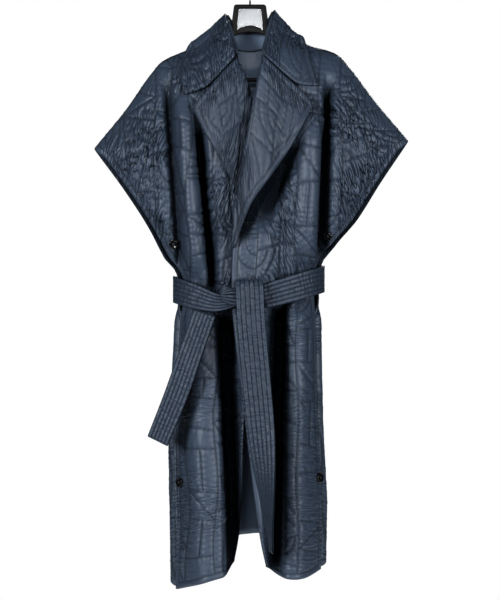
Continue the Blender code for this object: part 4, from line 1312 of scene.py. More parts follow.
def grid_faces(start, rows, columns, flip):
    """Quads of a grid of points, as rows of point numbers."""
    number = start + np.arange(rows * columns).reshape(rows, columns)
    quads = np.stack([number[:-1, :-1], number[:-1, 1:], number[1:, 1:], number[1:, :-1]], axis=-1)
    quads = quads.reshape(-1, 4)
    return (quads[:, ::-1] if flip else quads).tolist(), number


def rim_faces(fine, coarse, step):
    """Faces between the fine edge of the outside and the coarse edge of the inside."""
    faces = []
    for k in range(len(coarse) - 1):
        stretch = fine[k * step:(k + 1) * step + 1]
        faces.append([coarse[k], *stretch, coarse[k + 1]])
    return faces


def add_shell(name, inner, outer, places, painted_shade, level, rough, surface, lining):
    """A closed cloth wall: a fine outside, a coarser inside with facings at its sides, and its edges."""
    inside = inner[::INNER_STEP, ::INNER_STEP]
    rows, columns = outer.shape[:2]
    out_faces, fine = grid_faces(0, rows, columns, False)
    in_faces, coarse = grid_faces(rows * columns, *inside.shape[:2], True)
    rim = []
    for edge in (np.s_[0], np.s_[-1], np.s_[:, 0], np.s_[:, -1]):
        rim += rim_faces(fine[edge], coarse[edge], INNER_STEP)
    verts = np.concatenate([outer.reshape(-1, 3), inside.reshape(-1, 3)])
    made = add_mesh(name + "_look", verts.tolist(), out_faces + rim + in_faces, (surface, lining))
    lined = np.ones((inside.shape[0] - 1, inside.shape[1] - 1), np.int32)
    lined[:, :FACING_SPANS] = 0
    lined[:, -FACING_SPANS:] = 0
    outside = np.zeros(len(out_faces) + len(rim), np.int32)
    made.data.polygons.foreach_set("material_index", np.concatenate([outside, lined.reshape(-1)]))
    thin = places[::INNER_STEP, ::INNER_STEP]
    set_places(made.data, np.concatenate([places.reshape(-1, 2), thin.reshape(-1, 2)]))
    # Painted shade on the inside's facings
    shade = np.zeros(inside.shape[:2])
    shade[:, :FACING_SPANS + 1] = FACING_PAINTED_SHADE
    shade[:, -FACING_SPANS - 1:] = FACING_PAINTED_SHADE
    quiet = np.zeros(inside.shape[:2])
    sides = {"painted_shade": (painted_shade, shade), "level": (level, quiet), "rough": (rough, quiet + INSIDE_ROUGH)}
    for label, values in sides.items():
        set_number(made.data, label, np.concatenate([side.reshape(-1) for side in values]))
    return point_outward(made)


def set_places(mesh, flat):
    """Give a mesh its cloth coordinates, in metres, as a UV map."""
    corners = np.zeros(len(mesh.loops), np.int32)
    mesh.loops.foreach_get("vertex_index", corners)
    layer = mesh.uv_layers.new(name="cloth")
    layer.data.foreach_set("uv", flat[corners].reshape(-1))


def set_number(mesh, name, values):
    mesh.attributes.new(name, "FLOAT", "POINT").data.foreach_set("value", values)


def add_stitches(name, routes, surface):
    """Short thread bars along lines of points with normals, as one mesh."""
    verts = []
    faces = []
    for points, normals in routes:
        run = lengths_along(points)
        count = int(run[-1] / STITCH_PITCH)
        if count == 0:
            continue
        starts = (np.arange(count) + 0.5) * STITCH_PITCH - STITCH_LENGTH / 2
        p = at_lengths(starts, run, points)
        q = at_lengths(starts + STITCH_LENGTH, run, points)
        up = unit(at_lengths(starts, run, normals))
        side = unit(np.cross(q - p, up))
        corners = []
        for end in (p, q):
            base = end - up * STITCH_SINK
            corners += [base - side * STITCH_RADIUS, base + side * STITCH_RADIUS]
            corners.append(base + up * 2 * STITCH_RADIUS)
        first = len(verts)
        verts.extend(np.stack(corners, axis=1).reshape(-1, 3).tolist())
        for k in range(count):
            n = first + len(corners) * k
            faces += [(n, n + 1, n + 4, n + 3), (n + 1, n + 2, n + 5, n + 4), (n + 2, n, n + 3, n + 5)]
            faces += [(n, n + 2, n + 1), (n + 3, n + 4, n + 5)]
    return point_outward(add_mesh(name, verts, faces, (surface,)))


def sewn_routes(lines, places, outer, normals, edge):
    """Where lines on the flat cloth lie on the shaped cloth, cut off at its plain edge bands."""
    flat = places.reshape(-1, 2)
    points = outer.reshape(-1, 3)
    ups = normals.reshape(-1, 3)
    rims = edge.reshape(-1)
    tree = KDTree(len(flat))
    for k, (s, t) in enumerate(flat):
        tree.insert((s, t, 0.0), k)
    tree.balance()
    routes = []
    for line in lines:
        run = lengths_along(line)
        stretches = [[]]
        for s, t in at_lengths(np.arange(0.0, run[-1], STITCH_PITCH / 2), run, line):
            _, k, away = tree.find((s, t, 0.0))
            if away < STITCH_PITCH and rims[k] > BAND:
                stretches[-1].append(k)
            else:
                stretches.append([])
        for stretch in stretches:
            if len(stretch) >= SHORTEST_ROUTE:
                routes.append((points[stretch], ups[stretch]))
    return routes


def band_routes(grid, normals, edge, width):
    """Topstitching that runs at a width inside a grid's two long side edges and its lower edge."""
    rows = np.arange(grid.shape[0])
    columns = np.arange(grid.shape[1])
    across = row_lengths(grid)
    down = column_lengths(grid)
    places = []
    for side in (across, across[:, -1:] - across):
        places.append((rows, np.argmin(np.abs(side - width), axis=1)))
    places.append((np.argmin(np.abs(down[-1:] - down - width), axis=0), columns))
    routes = []
    for place in places:
        keep = edge[place] > width - ROUTE_SLACK
        routes.append((grid[place][keep], normals[place][keep]))
    return routes


def dress(piece, slot, *nodes):
    """Let a piece ride with the coat, name its finish and the solids that it stands for."""
    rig.ride(piece, "root")
    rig.slot(piece, slot)
    if nodes:
        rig.replaces(piece, *nodes)
    return piece


def add_sewing(name, routes, slot, looks):
    """Stitches that belong to a cloth piece."""
    return dress(add_stitches(name + "_sewing", routes, looks["thread"]), slot)


def raise_wall(grid, normals, height, edge):
    """Outside of a wall, thinned and rounded at its cut edges."""
    rim = rising(EDGE_THIN, np.sqrt(smooth(edge / EDGE_ROUND)))
    return grid + normals * ((WALL + height) * rim)[..., None]


def new_material(name, colour, roughness, metallic=0.0):
    made = bpy.data.materials.new(name)
    made.use_nodes = True
    shader = made.node_tree.nodes["Principled BSDF"]
    shader.inputs["Base Color"].default_value = (*colour, 1.0)
    shader.inputs["Roughness"].default_value = roughness
    shader.inputs["Metallic"].default_value = metallic
    return made, made.node_tree, shader


def attribute_node(tree, name):
    node = tree.nodes.new("ShaderNodeAttribute")
    node.attribute_name = name
    return node.outputs["Fac"]


def noise_node(tree, source, stretch, detail):
    """Noise over a texture space that is stretched along its axes."""
    mapping = tree.nodes.new("ShaderNodeMapping")
    mapping.inputs["Scale"].default_value = stretch
    tree.links.new(source, mapping.inputs["Vector"])
    node = tree.nodes.new("ShaderNodeTexNoise")
    node.inputs["Scale"].default_value = 1.0
    node.inputs["Detail"].default_value = detail
    tree.links.new(mapping.outputs["Vector"], node.inputs["Vector"])
    return node.outputs["Fac"]


def math_node(tree, operation, first, second, third=1.0):
    node = tree.nodes.new("ShaderNodeMath")
    node.operation = operation
    tree.links.new(first, node.inputs[0])
    if isinstance(second, float):
        node.inputs[1].default_value = second
    else:
        tree.links.new(second, node.inputs[1])
    node.inputs[2].default_value = third
    return node.outputs["Value"]


def mix_numbers(tree, share, first, second):
    """Blend of two numbers; the node's sockets go by place, since they share names."""
    node = tree.nodes.new("ShaderNodeMix")
    node.data_type = "FLOAT"
    tree.links.new(share, node.inputs[0])
    tree.links.new(first, node.inputs[2])
    tree.links.new(second, node.inputs[3])
    return node.outputs[0]


def mix_colours(tree, share, first, second):
    """Blend of two colours; the node's sockets go by place, since they share names."""
    node = tree.nodes.new("ShaderNodeMix")
    node.data_type = "RGBA"
    tree.links.new(share, node.inputs[0])
    node.inputs[6].default_value = (*first, 1.0)
    node.inputs[7].default_value = (*second, 1.0)
    return node.outputs[2]


def add_bump(tree, shader, height, distance, before=None):
    node = tree.nodes.new("ShaderNodeBump")
    node.inputs["Strength"].default_value = 1.0
    node.inputs["Distance"].default_value = distance
    tree.links.new(height, node.inputs["Height"])
    if before is not None:
        tree.links.new(before, node.inputs["Normal"])
    tree.links.new(node.outputs["Normal"], shader.inputs["Normal"])
    return node.outputs["Normal"]


def cloth_material(name, colour, painted_shade_colour, roughness, wrinkle):
    """Satin woven cloth: painted shade in seams, gullies and wrinkles' valleys, fine wrinkles that run down or across,
    and a weave.
    """
    made, tree, shader = new_material(name, colour, roughness)
    uv = tree.nodes.new("ShaderNodeUVMap")
    uv.uv_map = "cloth"
    place = uv.outputs["UV"]
    down = noise_node(tree, place, FINE_DOWN, FINE_DETAIL)
    across = noise_node(tree, place, FINE_ACROSS, FINE_DETAIL)
    waves = mix_numbers(tree, attribute_node(tree, "level"), down, across)
    ridges = math_node(tree, "ABSOLUTE", math_node(tree, "SUBTRACT", waves, 0.5), 0.0)
    rough = attribute_node(tree, "rough")
    creased = add_bump(tree, shader, math_node(tree, "MULTIPLY", ridges, rough), wrinkle)
    # Painted shade in the fine wrinkles' valleys, on top of the painted shade carried by the mesh
    near = math_node(tree, "MULTIPLY_ADD", ridges, -FINE_VALLEY)
    valley_shade = math_node(tree, "MULTIPLY", math_node(tree, "MAXIMUM", near, 0.0), rough)
    shade_share = math_node(tree, "MAXIMUM", valley_shade, attribute_node(tree, "painted_shade"))
    tree.links.new(mix_colours(tree, shade_share, colour, painted_shade_colour), shader.inputs["Base Color"])
    # Painted shade also takes away shine where it lies
    shine = math_node(tree, "MULTIPLY_ADD", shade_share, -CLOTH_SHINE, CLOTH_SHINE)
    shader.inputs["Specular IOR Level"].default_value = CLOTH_SHINE
    tree.links.new(shine, shader.inputs["Specular IOR Level"])
    add_bump(tree, shader, noise_node(tree, place, WEAVE, 0.0), WEAVE_HEIGHT, creased)
    return made


def plain_material(name, colour, roughness, metallic, grain, height, shine):
    """Hard finish with a fine grain."""
    made, tree, shader = new_material(name, colour, roughness, metallic)
    shader.inputs["Specular IOR Level"].default_value = shine
    coordinates = tree.nodes.new("ShaderNodeTexCoord")
    bumps = noise_node(tree, coordinates.outputs["Object"], (grain, grain, grain), 1.0)
    add_bump(tree, shader, bumps, height)
    return made


def make_clear(surface):
    """Let some light through a finish."""
    shader = surface.node_tree.nodes["Principled BSDF"]
    shader.inputs["Transmission Weight"].default_value = CLEAR_SHARE
    shader.inputs["IOR"].default_value = CLEAR_BEND


def finishes():
    """All finishes, by what they are used for."""
    looks = {}
    for use, *values in CLOTH_FINISHES[1:]:
        looks[use] = cloth_material(*values)
    for use, *values in PLAIN_FINISHES[1:]:
        looks[use] = plain_material(*values)
    make_clear(looks["clear_plate"])
    return looks


def panel_cloth(panel, columns, rows):
    """Inside of a panel as a grid, and the places of its points on the flat cloth: across and down."""
    u = np.linspace(0.0, 1.0, FINE_COLUMNS + 1)
    v = np.linspace(0.0, 1.0, rows + 1)
    flat = flat_points(panel, u, v)
    x, z = flat[..., 0], flat[..., 1]
    whole = np.concatenate([draped(panel, x, z), x[..., None], -z[..., None]], axis=-1)
    whole = even_rows(whole, columns)
    return whole[..., :3], whole[..., 3:]


def gathers(panel, grid, places, seed):
    """Small pleats that the belt draws in, above and below it."""
    middle, half = belt_height(grid[..., 0], face_of(panel))
    away = np.maximum(np.abs(grid[..., 2] - middle) - half, 0.0)
    fade = np.exp(-away / GATHER_FADE)
    return GATHER * fade * noise(seed, places[..., 0] / GATHER_STEP, places[..., 1] / GATHER_RUN)


def lapel_shade(grid):
    """How much of the left lapel's painted shadow each point of the left front gets."""
    edge = along(LEFT_LAPEL, "b", ("edge_x", "edge_z"), np.linspace(0.0, 1.0, LAPEL_SPANS[1] + 1))
    x, z = grid[..., 0], grid[..., 2]
    beyond = x - np.interp(-z, -edge[:, 1], edge[:, 0])
    ends = smooth((SHADED_TOP - z) / SHADED_FADE) * smooth((z - SHADED_LOW) / SHADED_FADE)
    return ends * (1 - smooth((beyond - SHADED_WIDTH) / SHADED_SOFT))


def add_panel(name, panel, spans, seed, looks):
    """A quilted panel with its sewing."""
    grid, places = panel_cloth(panel, *spans)
    normals = even_normals(grid, OUTWARD[panel])
    normals[0, :, 1] = 0.0
    normals[0] = unit(normals[0])
    edge = edge_distance(grid, ("start", "end", "low"))
    flat = places.reshape(-1, 2)
    lines = quilt_lines(flat.min(axis=0), flat.max(axis=0), seed)
    level = smooth((places[..., 1] - LEVEL_FROM) / LEVEL_SOFT)
    rise, _ = fold_shift(FOLDS[panel], places[..., 0], -places[..., 1])
    below = edge_distance(grid, ("top",))
    rough = panel_crumple(grid, places, rise, level, seed)
    rough = rough * rising(SHOULDER_ROUGH, smooth(below / SHOULDER_SMOOTH))
    leaned = places + np.stack([LEANS[panel] * places[..., 1], 0 * edge], axis=-1)
    height, painted_shade = quilted_height(places, leaned, edge, lines, seed, level, rough)
    height = height * rising(SHOULDER_SHARE, smooth(below / SHOULDER_CALM))
    height = height * rising(SIDE_SHARE, smooth(edge_distance(grid, SIDES[panel]) / SIDE_CALM[panel]))
    height = np.maximum(height + gathers(panel, grid, places, seed + 5), 0.0)
    outer = raise_wall(grid, normals, height, edge)
    # Painted shade in the gullies
    painted_shade = np.maximum(painted_shade, GULLY_PAINTED_SHADE * smooth(-rise / GULLY_FULL))
    # Painted shadow of the left lapel on the front
    if panel == "left":
        painted_shade = np.maximum(painted_shade, GULLY_PAINTED_SHADE * lapel_shade(grid))
    nylon = looks["quilted_nylon"]
    piece = add_shell(name, grid, outer, leaned, painted_shade, level, rough, nylon, looks["lining"])
    dress(piece, "quilted_nylon", name)
    routes = sewn_routes(lines, places, outer, normals, edge) + band_routes(outer, normals, edge, BAND)
    return piece, add_sewing(name, routes, "quilted_nylon", looks)


def lapel_grid(panel, table):
    """Inside of a lapel, from under its roll to its outer edge."""
    columns, rows = LAPEL_SPANS
    a = np.linspace(0.0, 1.0, columns - ROLL_SPANS + 1)[None, :]
    b = np.linspace(0.0, 1.0, rows + 1)
    stations = along(table, "b", ("roll_x", "roll_z", "edge_x", "edge_z", "lift"), b)
    x = stations[:, 0:1] * (1 - a) + stations[:, 2:3] * a
    z = stations[:, 1:2] * (1 - a) + stations[:, 3:4] * a
    crown = LAPEL_CROWN * np.sin(np.pi * a) * (1 - b[:, None] ** CROWN_POWER)
    depth = cloth_top(panel, x, z) + LAPEL_GAP + crown + stations[:, 4:5] * smooth(a)
    flat = np.stack([x, -depth, z], axis=-1)
    inward = unit(flat[:, :1] - flat[:, 1:2])
    turns = np.linspace(ROLL_TURN, 0.0, ROLL_SPANS, endpoint=False)[None, :, None]
    radius = ROLL_RADIUS * (1 - b[:, None, None] ** ROLL_POWER) + ROLL_LEAST
    back = np.array([0.0, 1.0, 0.0])
    roll = flat[:, :1] + radius * (np.sin(turns) * inward + (1 - np.cos(turns)) * back)
    return np.concatenate([roll, flat], axis=1)


def add_turned_back(name, grid, normals, edge, places, lean, soft, more, seed, looks):
    """Cloth turned back on other cloth: plain beneath, quilted on top by a soft share of the full height."""
    lines = quilt_lines((0.0, 0.0), places.reshape(-1, 2).max(axis=0), seed)
    level = np.zeros_like(edge)
    rough = np.clip(crumple(places, seed) + more, 0.0, 1.0)
    leaned = places + np.stack([lean * places[..., 1], 0 * edge], axis=-1)
    height, painted_shade = quilted_height(places, leaned, edge, lines, seed, level, rough)
    # Painted shade over the whole lapel or collar
    painted_shade = np.maximum(painted_shade, TURNED_BACK_PAINTED_SHADE)
    outer = grid + normals * (soft * height - EDGE_DROP * (1 - smooth(edge / EDGE_ROUND)))[..., None]
    nylon = looks["quilted_nylon"]
    piece = add_shell(name, grid - normals * WALL, outer, leaned, painted_shade, level, rough, nylon, nylon)
    dress(piece, "quilted_nylon", name)
    routes = sewn_routes(lines, places, outer, normals, edge)
    for width in TOPSTITCHING:
        routes.append(edge_route(outer, normals, width))
    return piece, add_sewing(name, routes, "quilted_nylon", looks)


def add_lapel(name, panel, seed, more, looks):
    grid = lapel_grid(panel, LAPEL_TABLES[panel])
    normals = even_normals(grid, -OUTWARD[panel])
    edge = edge_distance(grid, ("end", "top"))
    places = grid_places(grid)
    return add_turned_back(name, grid, normals, edge, places, LAPEL_LEAN, LAPEL_SOFT, more, seed, looks)


def edge_route(grid, normals, width):
    """Topstitching along a grid's last column, at a width inside it."""
    across = row_lengths(grid)
    k = np.argmin(np.abs(across[:, -1:] - across - width), axis=1)
    rows = np.arange(len(grid))
    keep = across[:, -1] > width + BAND
    return grid[rows, k][keep], normals[rows, k][keep]


def add_collar(name, seed, looks):
    columns, rows = COLLAR_SPANS
    grid = blurred(collar_grid(rows, columns), COLLAR_EVEN)
    normals = even_normals(grid, -1.0)
    edge = edge_distance(grid, ("end", "top", "low"))
    places = grid_places(grid)
    places[..., 1] = places[:, [columns // 2], 1]
    return add_turned_back(name, grid, normals, edge, places, 0.0, COLLAR_PUFFED, COLLAR_CRUMPLE, seed, looks)


def add_stand(name, looks):
    columns, rows = STAND_SPANS
    t = np.linspace(0.0, 1.0, rows + 1)
    low = along(STAND, "t", ("low_x", "low_y", "low_z"), t)
    top = along(STAND, "t", ("top_x", "top_y", "top_z"), t)
    share = np.linspace(0.0, 1.0, columns + 1)[None, :, None]
    grid = low[:, None] * (1 - share) + top[:, None] * share
    outer = grid + even_normals(grid, 1.0) * STAND_WALL
    quiet = np.zeros(grid.shape[:2])
    # Painted shade on the stand's sides, which lie in shadow
    shade = GULLY_PAINTED_SHADE * (1 - smooth(grid[..., 1] / STAND_SHADED))
    cloth = looks["stand"]
    piece = add_shell(name, outer, grid, grid_places(grid), shade, quiet, quiet + STAND_ROUGH, cloth, cloth)
    return dress(piece, "lining", name)


def add_lining_seams(looks):
    """Sewing down the back's lining."""
    share = np.linspace(0.0, 1.0, LINING_SEAM_STEPS + 1)
    inward = np.tile((0.0, -1.0, 0.0), (len(share), 1))
    routes = []
    for x_top, z_top, x_low, z_low in LINING_SEAMS[1:]:
        x = x_top + share * (x_low - x_top)
        z = z_top + share * (z_low - z_top)
        routes.append((draped("back", x, z), inward))
    return add_sewing("lining", routes, "lining", looks)


def add_band(name, middle, across, outward, half, wall, seed, looks):
    """A channel-stitched band swept along a line, with its own width direction and outside at each step."""
    share = np.linspace(-1.0, 1.0, BAND_SPANS + 1)
    grid = middle[:, None] + across[:, None] * (half[:, None] * share)[..., None]
    channel = (share + 1) / 2 * BELT_CHANNELS
    rib = np.sqrt(np.clip(1 - (2 * (channel % 1.0) - 1) ** 2, 0.0, 1.0))
    run = lengths_along(middle)[:, None] + 0 * share
    pucker = noise(seed, run / BELT_PUCKER_STEP, np.floor(channel) + 0 * run)
    taut = 1 - BELT_SIDE_FLAT * np.abs(outward[:, :1])
    puff = BELT_PUFF * (BELT_PUFF_MEAN + BELT_PUFF_SWING * pucker) + BELT_PUCKER * pucker
    height = wall + puff * rib * taut
    height = height * rising(EDGE_THIN, np.sqrt(smooth(np.minimum(run, run[-1] - run) / EDGE_ROUND)))
    outer = grid + outward[:, None] * height[..., None]
    places = np.stack([half[:, None] * share, run], axis=-1)
    # Painted shade in the channel seams and over the whole band
    painted_shade = np.maximum(np.exp(-(rib / BELT_SEAM) ** 2), BELT_PAINTED_SHADE) * np.ones_like(height)
    level = np.ones_like(height)
    nylon = looks["quilted_nylon"]
    piece = add_shell(name, grid, outer, places, painted_shade, level, BELT_ROUGH * level, nylon, nylon)
    dress(piece, "quilted_nylon", name)
    seams = np.arange(1, BELT_CHANNELS) * BAND_SPANS // BELT_CHANNELS
    routes = [(outer[:, at], outward) for at in seams]
    return piece, add_sewing(name, routes, "quilted_nylon", looks)


def add_belt_round(name, seed, looks):
    """The belt round the waist, from one side of the knot to the other."""
    turns = np.radians(np.linspace(BELT_END_TURN, 360.0 - BELT_END_TURN, BELT_ROUND_STEPS + 1))
    power = 2.0 / BELT_POWER
    x = BELT_MIDDLE - BELT_HALF_WIDTH * np.sign(np.sin(turns)) * np.abs(np.sin(turns)) ** power
    front = np.cos(turns) > 0
    deep = np.where(front, BELT_FRONT, BELT_BACK)
    y = -deep * np.sign(np.cos(turns)) * np.abs(np.cos(turns)) ** power
    z_front, _ = belt_height(x, "front")
    z_back, _ = belt_height(x, "back")
    middle = np.stack([x, y, np.where(front, z_front, z_back)], axis=-1)
    middle = even_rows(middle[None], BELT_ROUND_STEPS)[0]
    step = unit(np.gradient(middle, axis=0))
    outward = unit(np.stack([step[:, 1], -step[:, 0], np.zeros(len(x))], axis=-1))
    outward *= np.sign(np.sum(outward * middle * (1, 1, 0), axis=1))[:, None]
    across = np.cross(outward, step)
    half = half_of_belt(middle)
    return add_band(name, middle, across, outward, half, BELT_WALL, seed, looks)


def half_of_belt(middle):
    """Half height of the belt at points of its middle line."""
    _, half_front = belt_height(middle[:, 0], "front")
    _, half_back = belt_height(middle[:, 0], "back")
    return np.where(middle[:, 1] < 0, half_front, half_back)


def add_tail(name, table, seed, looks):
    s = np.linspace(0.0, 1.0, TAIL_STEPS + 1)
    middle = along(table, "s", ("x", "y", "z"), s)
    half = along(table, "s", ("width",), s)[:, 0] / 2
    turn = np.radians(along(table, "s", ("turn",), s)[:, 0])
    step = unit(np.gradient(middle, axis=0))
    level = np.stack([-np.cos(turn), np.sin(turn), np.zeros(len(s))], axis=-1)
    across = unit(level - np.sum(level * step, axis=1)[:, None] * step)
    outward = np.cross(across, step)
    return add_band(name, middle, across, outward, half, TAIL_WALL, seed, looks)


def add_knot(name, looks):
    """The turn of the belt over its knot, with the pleats that the belt's width is drawn into."""
    s = np.linspace(0.0, 1.0, KNOT_STEPS + 1)
    centres = along(KNOT, "s", ("x", "y", "z"), s)
    halves = along(KNOT, "s", ("half_y", "half_z"), s)
    turns = circle(KNOT_AROUND)
    ridge = 1.0 + KNOT_PLEAT * np.cos(KNOT_PLEATS * turns[None, :] + KNOT_TWIST * s[:, None])
    points = np.repeat(centres[:, None], KNOT_AROUND, axis=1)
    points[..., 1] += halves[:, 0:1] * np.cos(turns) * ridge
    points[..., 2] += halves[:, 1:2] * np.sin(turns)
    piece = add_tube(name + "_look", points, looks["quilted_nylon"])
    around, down = KNOT_CLOTH
    flat = np.stack(np.meshgrid(turns * around, s * down), axis=-1).reshape(-1, 2)
    set_places(piece.data, flat)
    # Painted shade in the pleats' valleys
    set_number(piece.data, "painted_shade", smooth((1.0 - ridge) / KNOT_PLEAT).reshape(-1))
    set_number(piece.data, "level", np.zeros(len(flat)))
    set_number(piece.data, "rough", np.full(len(flat), KNOT_ROUGH))
    return dress(piece, "quilted_nylon", name)


def button_frame(x, z):
    """Foot, normal, side and upward direction of a button that lies flat on its front."""
    panel = "right" if x < 0 else "left"
    turns = circle(4 * BUTTON_QUARTER)
    rim = draped(panel, x + BUTTON_RADIUS * np.cos(turns), z + BUTTON_RADIUS * np.sin(turns))
    middle = draped(panel, np.array([x]), np.array([z]))[0]
    right, top, left, low = rim[::BUTTON_QUARTER]
    normal = unit(np.cross(right - left, top - low))
    highest = max(0.0, float(np.max((rim - middle) @ normal)))
    foot = middle + normal * (highest + WALL + SOLID_PUFF)
    side = unit(np.cross(normal, (0.0, 0.0, 1.0)))
    return foot, normal, side, np.cross(side, normal)


def add_button(name, x, z, looks):
    """A button with a sunk middle, sewn on with crossed threads."""
    foot, normal, side, up = button_frame(x, z)
    turns = circle(BUTTON_AROUND)
    ring = np.cos(turns)[:, None] * side + np.sin(turns)[:, None] * up
    rings = []
    for share, height in BUTTON_PROFILE[1:]:
        rings.append(foot + ring * BUTTON_RADIUS * share + normal * BUTTON_THICK * height)
    piece = add_tube(name + "_look", np.array(rings), looks["button_plastic"])
    dress(piece, "button_plastic", name)
    top = foot + normal * (BUTTON_THICK * BUTTON_PROFILE[-1][1])
    routes = []
    for slant in (1, -1):
        reach_out = THREAD_REACH * (side + slant * up)
        routes.append((top - reach_out, top + reach_out))
    thread = add_thread_cross(name + "_thread", routes, normal, looks["thread"])
    dress(thread, "button_plastic")


def add_thread_cross(name, routes, normal, surface):
    """Thread bars across a button's middle."""
    verts = []
    faces = []
    for start, end in routes:
        side = np.cross(unit(end - start), normal)
        first = len(verts)
        for point in (start, end):
            for turn in circle(THREAD_AROUND):
                offset = side * math.cos(turn) + normal * math.sin(turn)
                verts.append((point + offset * THREAD_RADIUS).tolist())
        faces += [tuple(first + k for k in face) for face in tube_faces(2, THREAD_AROUND)]
    return point_outward(add_mesh(name, verts, faces, (surface,)))


def frame_outline(inset_side, inset_foot, inset_top, inset_low, corner):
    """Outline of the hanger's frame, or one inside it: round upper corners and an arched lower side."""
    top_half = NECK_TOP_HALF - inset_side
    bottom_half = NECK_BOTTOM_HALF - inset_foot
    top = NECK_TOP - inset_top
    bottom = NECK_BOTTOM + inset_low
    turns = np.linspace(math.pi / 2, 0.0, CORNER_STEPS + 1)
    right = [(top_half - corner + corner * math.cos(t), top - corner + corner * math.sin(t)) for t in turns]
    arch = []
    for share in np.linspace(1.0, -1.0, ARCH_STEPS + 1):
        arch.append((bottom_half * share, bottom + ARCH_RISE * (1 - share ** 2)))
    return right + arch + [(-x, z) for x, z in reversed(right)]


def add_neck_frame(name, surface):
    """The hanger's upright frame with an open window and softened edges."""
    outer = frame_outline(0.0, 0.0, 0.0, 0.0, NECK_CORNER)
    inner = frame_outline(NECK_BAR, NECK_RAIL, NECK_HEAD, NECK_RAIL, WINDOW_CORNER)
    count = len(outer)
    verts = []
    for y in (-NECK_DEPTH / 2, NECK_DEPTH / 2):
        for ring in (outer, inner):
            verts += [(x, y, z) for x, z in ring]
    faces = []
    for i in range(count):
        n = (i + 1) % count
        faces.append((i, n, count + n, count + i))
        faces.append((2 * count + i, 3 * count + i, 3 * count + n, 2 * count + n))
        faces.append((i, 2 * count + i, 2 * count + n, n))
        faces.append((count + i, count + n, 3 * count + n, 3 * count + i))
    made = add_mesh(name, verts, faces, (surface,))
    bevel = made.modifiers.new("soft edges", "BEVEL")
    bevel.width = FRAME_BEVEL
    bevel.segments = BEVEL_SEGMENTS
    bevel.angle_limit = math.radians(BEVEL_ANGLE)
    graph = bpy.context.evaluated_depsgraph_get()
    mesh = bpy.data.meshes.new_from_object(made.evaluated_get(graph))
    made.modifiers.remove(bevel)
    made.data = mesh
    return point_outward(made)


def add_arm(name, sign, surface):
    """One arm of the hanger: oval sections with a rounded end."""
    outs = column(HANGER_ARM, "out")
    at = np.linspace(outs[0], outs[-1], ARM_STEPS + 1)
    rows = along(HANGER_ARM, "out", ("z", "half_y", "half_z"), at)
    before_tip = np.clip((outs[-1] - at) / ARM_ROUND, 0.0, 1.0)
    end = rising(ARM_TIP, np.sqrt(before_tip * (2 - before_tip)))[:, None]
    turns = circle(ARM_AROUND)
    points = np.zeros((len(at), ARM_AROUND, 3))
    points[..., 0] = sign * at[:, None]
    points[..., 1] = rows[:, 1:2] * end * np.cos(turns)
    points[..., 2] = rows[:, 0:1] + rows[:, 2:3] * end * np.sin(turns)
    return add_tube(name, points, surface)


def add_wire(name, path, radius, surface):
    """A round wire along a path in the hanger's plane."""
    points = np.array([(x, 0.0, z) for x, z in path])
    step = unit(np.gradient(points, axis=0))
    depth = np.array([0.0, 1.0, 0.0])
    side = unit(np.cross(step, depth))
    turns = circle(WIRE_AROUND)[:, None]
    around = np.cos(turns) * side[:, None] + np.sin(turns) * depth
    return add_tube(name, points[:, None] + radius * around, surface)


def bar_path():
    """Trouser bar with both ends turned up into the arms."""
    start = BAR_HALF_SPAN - BAR_BEND
    half = [(start, BAR_Z)]
    for turn in np.linspace(0.0, math.pi / 2, CORNER_STEPS + 1)[1:]:
        rise = BAR_END_Z - BAR_Z
        half.append((start + BAR_BEND * math.sin(turn), BAR_Z + rise * (1 - math.cos(turn))))
    return [(-x, z) for x, z in reversed(half)] + half


def hook_path():
    """Wire hook: a stem from the neck frame and an open ring over the rail."""
    radius = HOOK_INSIDE + HOOK_WIRE
    centre = -HOOK_INSIDE
    path = [(0.0, NECK_TOP + SEAM_GAP), (0.0, centre - radius - HOOK_STEM)]
    for turn in np.radians(np.linspace(*HOOK_TURNS, HOOK_STEPS + 1)):
        path.append((radius * math.cos(turn), centre + radius * math.sin(turn)))
    return path


def join_meshes(name, parts):
    """One object from several."""
    bm = bmesh.new()
    for part in parts:
        bm.from_mesh(part.data)
        bpy.data.objects.remove(part)
    mesh = bpy.data.meshes.new(name)
    bm.to_mesh(mesh)
    bm.free()
    return add_object(name, mesh)


def add_hanger(looks):
    black = looks["black_plastic"]
    parts = [add_neck_frame("frame", black), add_arm("arm_right", -1, black), add_arm("arm_left", 1, black)]
    parts.append(add_wire("bar", bar_path(), BAR_RADIUS, black))
    body = join_meshes("hanger_body_look", parts)
    body.data.materials.append(black)
    dress(body, "black_plastic", "hanger_body")
    hook = add_wire("hanger_hook_look", hook_path(), HOOK_WIRE, looks["hook_steel"])
    dress(hook, "hook_steel", "hanger_hook")
    plate = frame["nodes"]["hanger_plate"]
    plate.data.materials.clear()
    plate.data.materials.append(looks["clear_plate"])
    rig.slot(plate, "clear_plate")


def place_lamp(light, location, aim):
    """Put a lamp somewhere and turn it toward a point."""
    lamp = add_object(light.name, light)
    lamp.location = location
    way = Vector(aim) - lamp.location
    lamp.rotation_euler = way.to_track_quat("-Z", "Y").to_euler()


def add_lamps():
    """Soft lamps round the coat, and the narrow one for the neck."""
    for name, x, y, z, size, watts in LAMPS[1:]:
        light = bpy.data.lights.new(name, "AREA")
        light.size = size
        light.energy = watts
        place_lamp(light, (x, y, z), (VIEW_MIDDLE[0], 0.0, VIEW_MIDDLE[1]))
    light = bpy.data.lights.new("neck", "SPOT")
    light.energy = NECK_LAMP_WATTS
    light.spot_size = NECK_LAMP_WIDE
    light.spot_blend = NECK_LAMP_BLEND
    light.shadow_soft_size = NECK_LAMP_SIZE
    place_lamp(light, NECK_LAMP, NECK_LAMP_AIM)


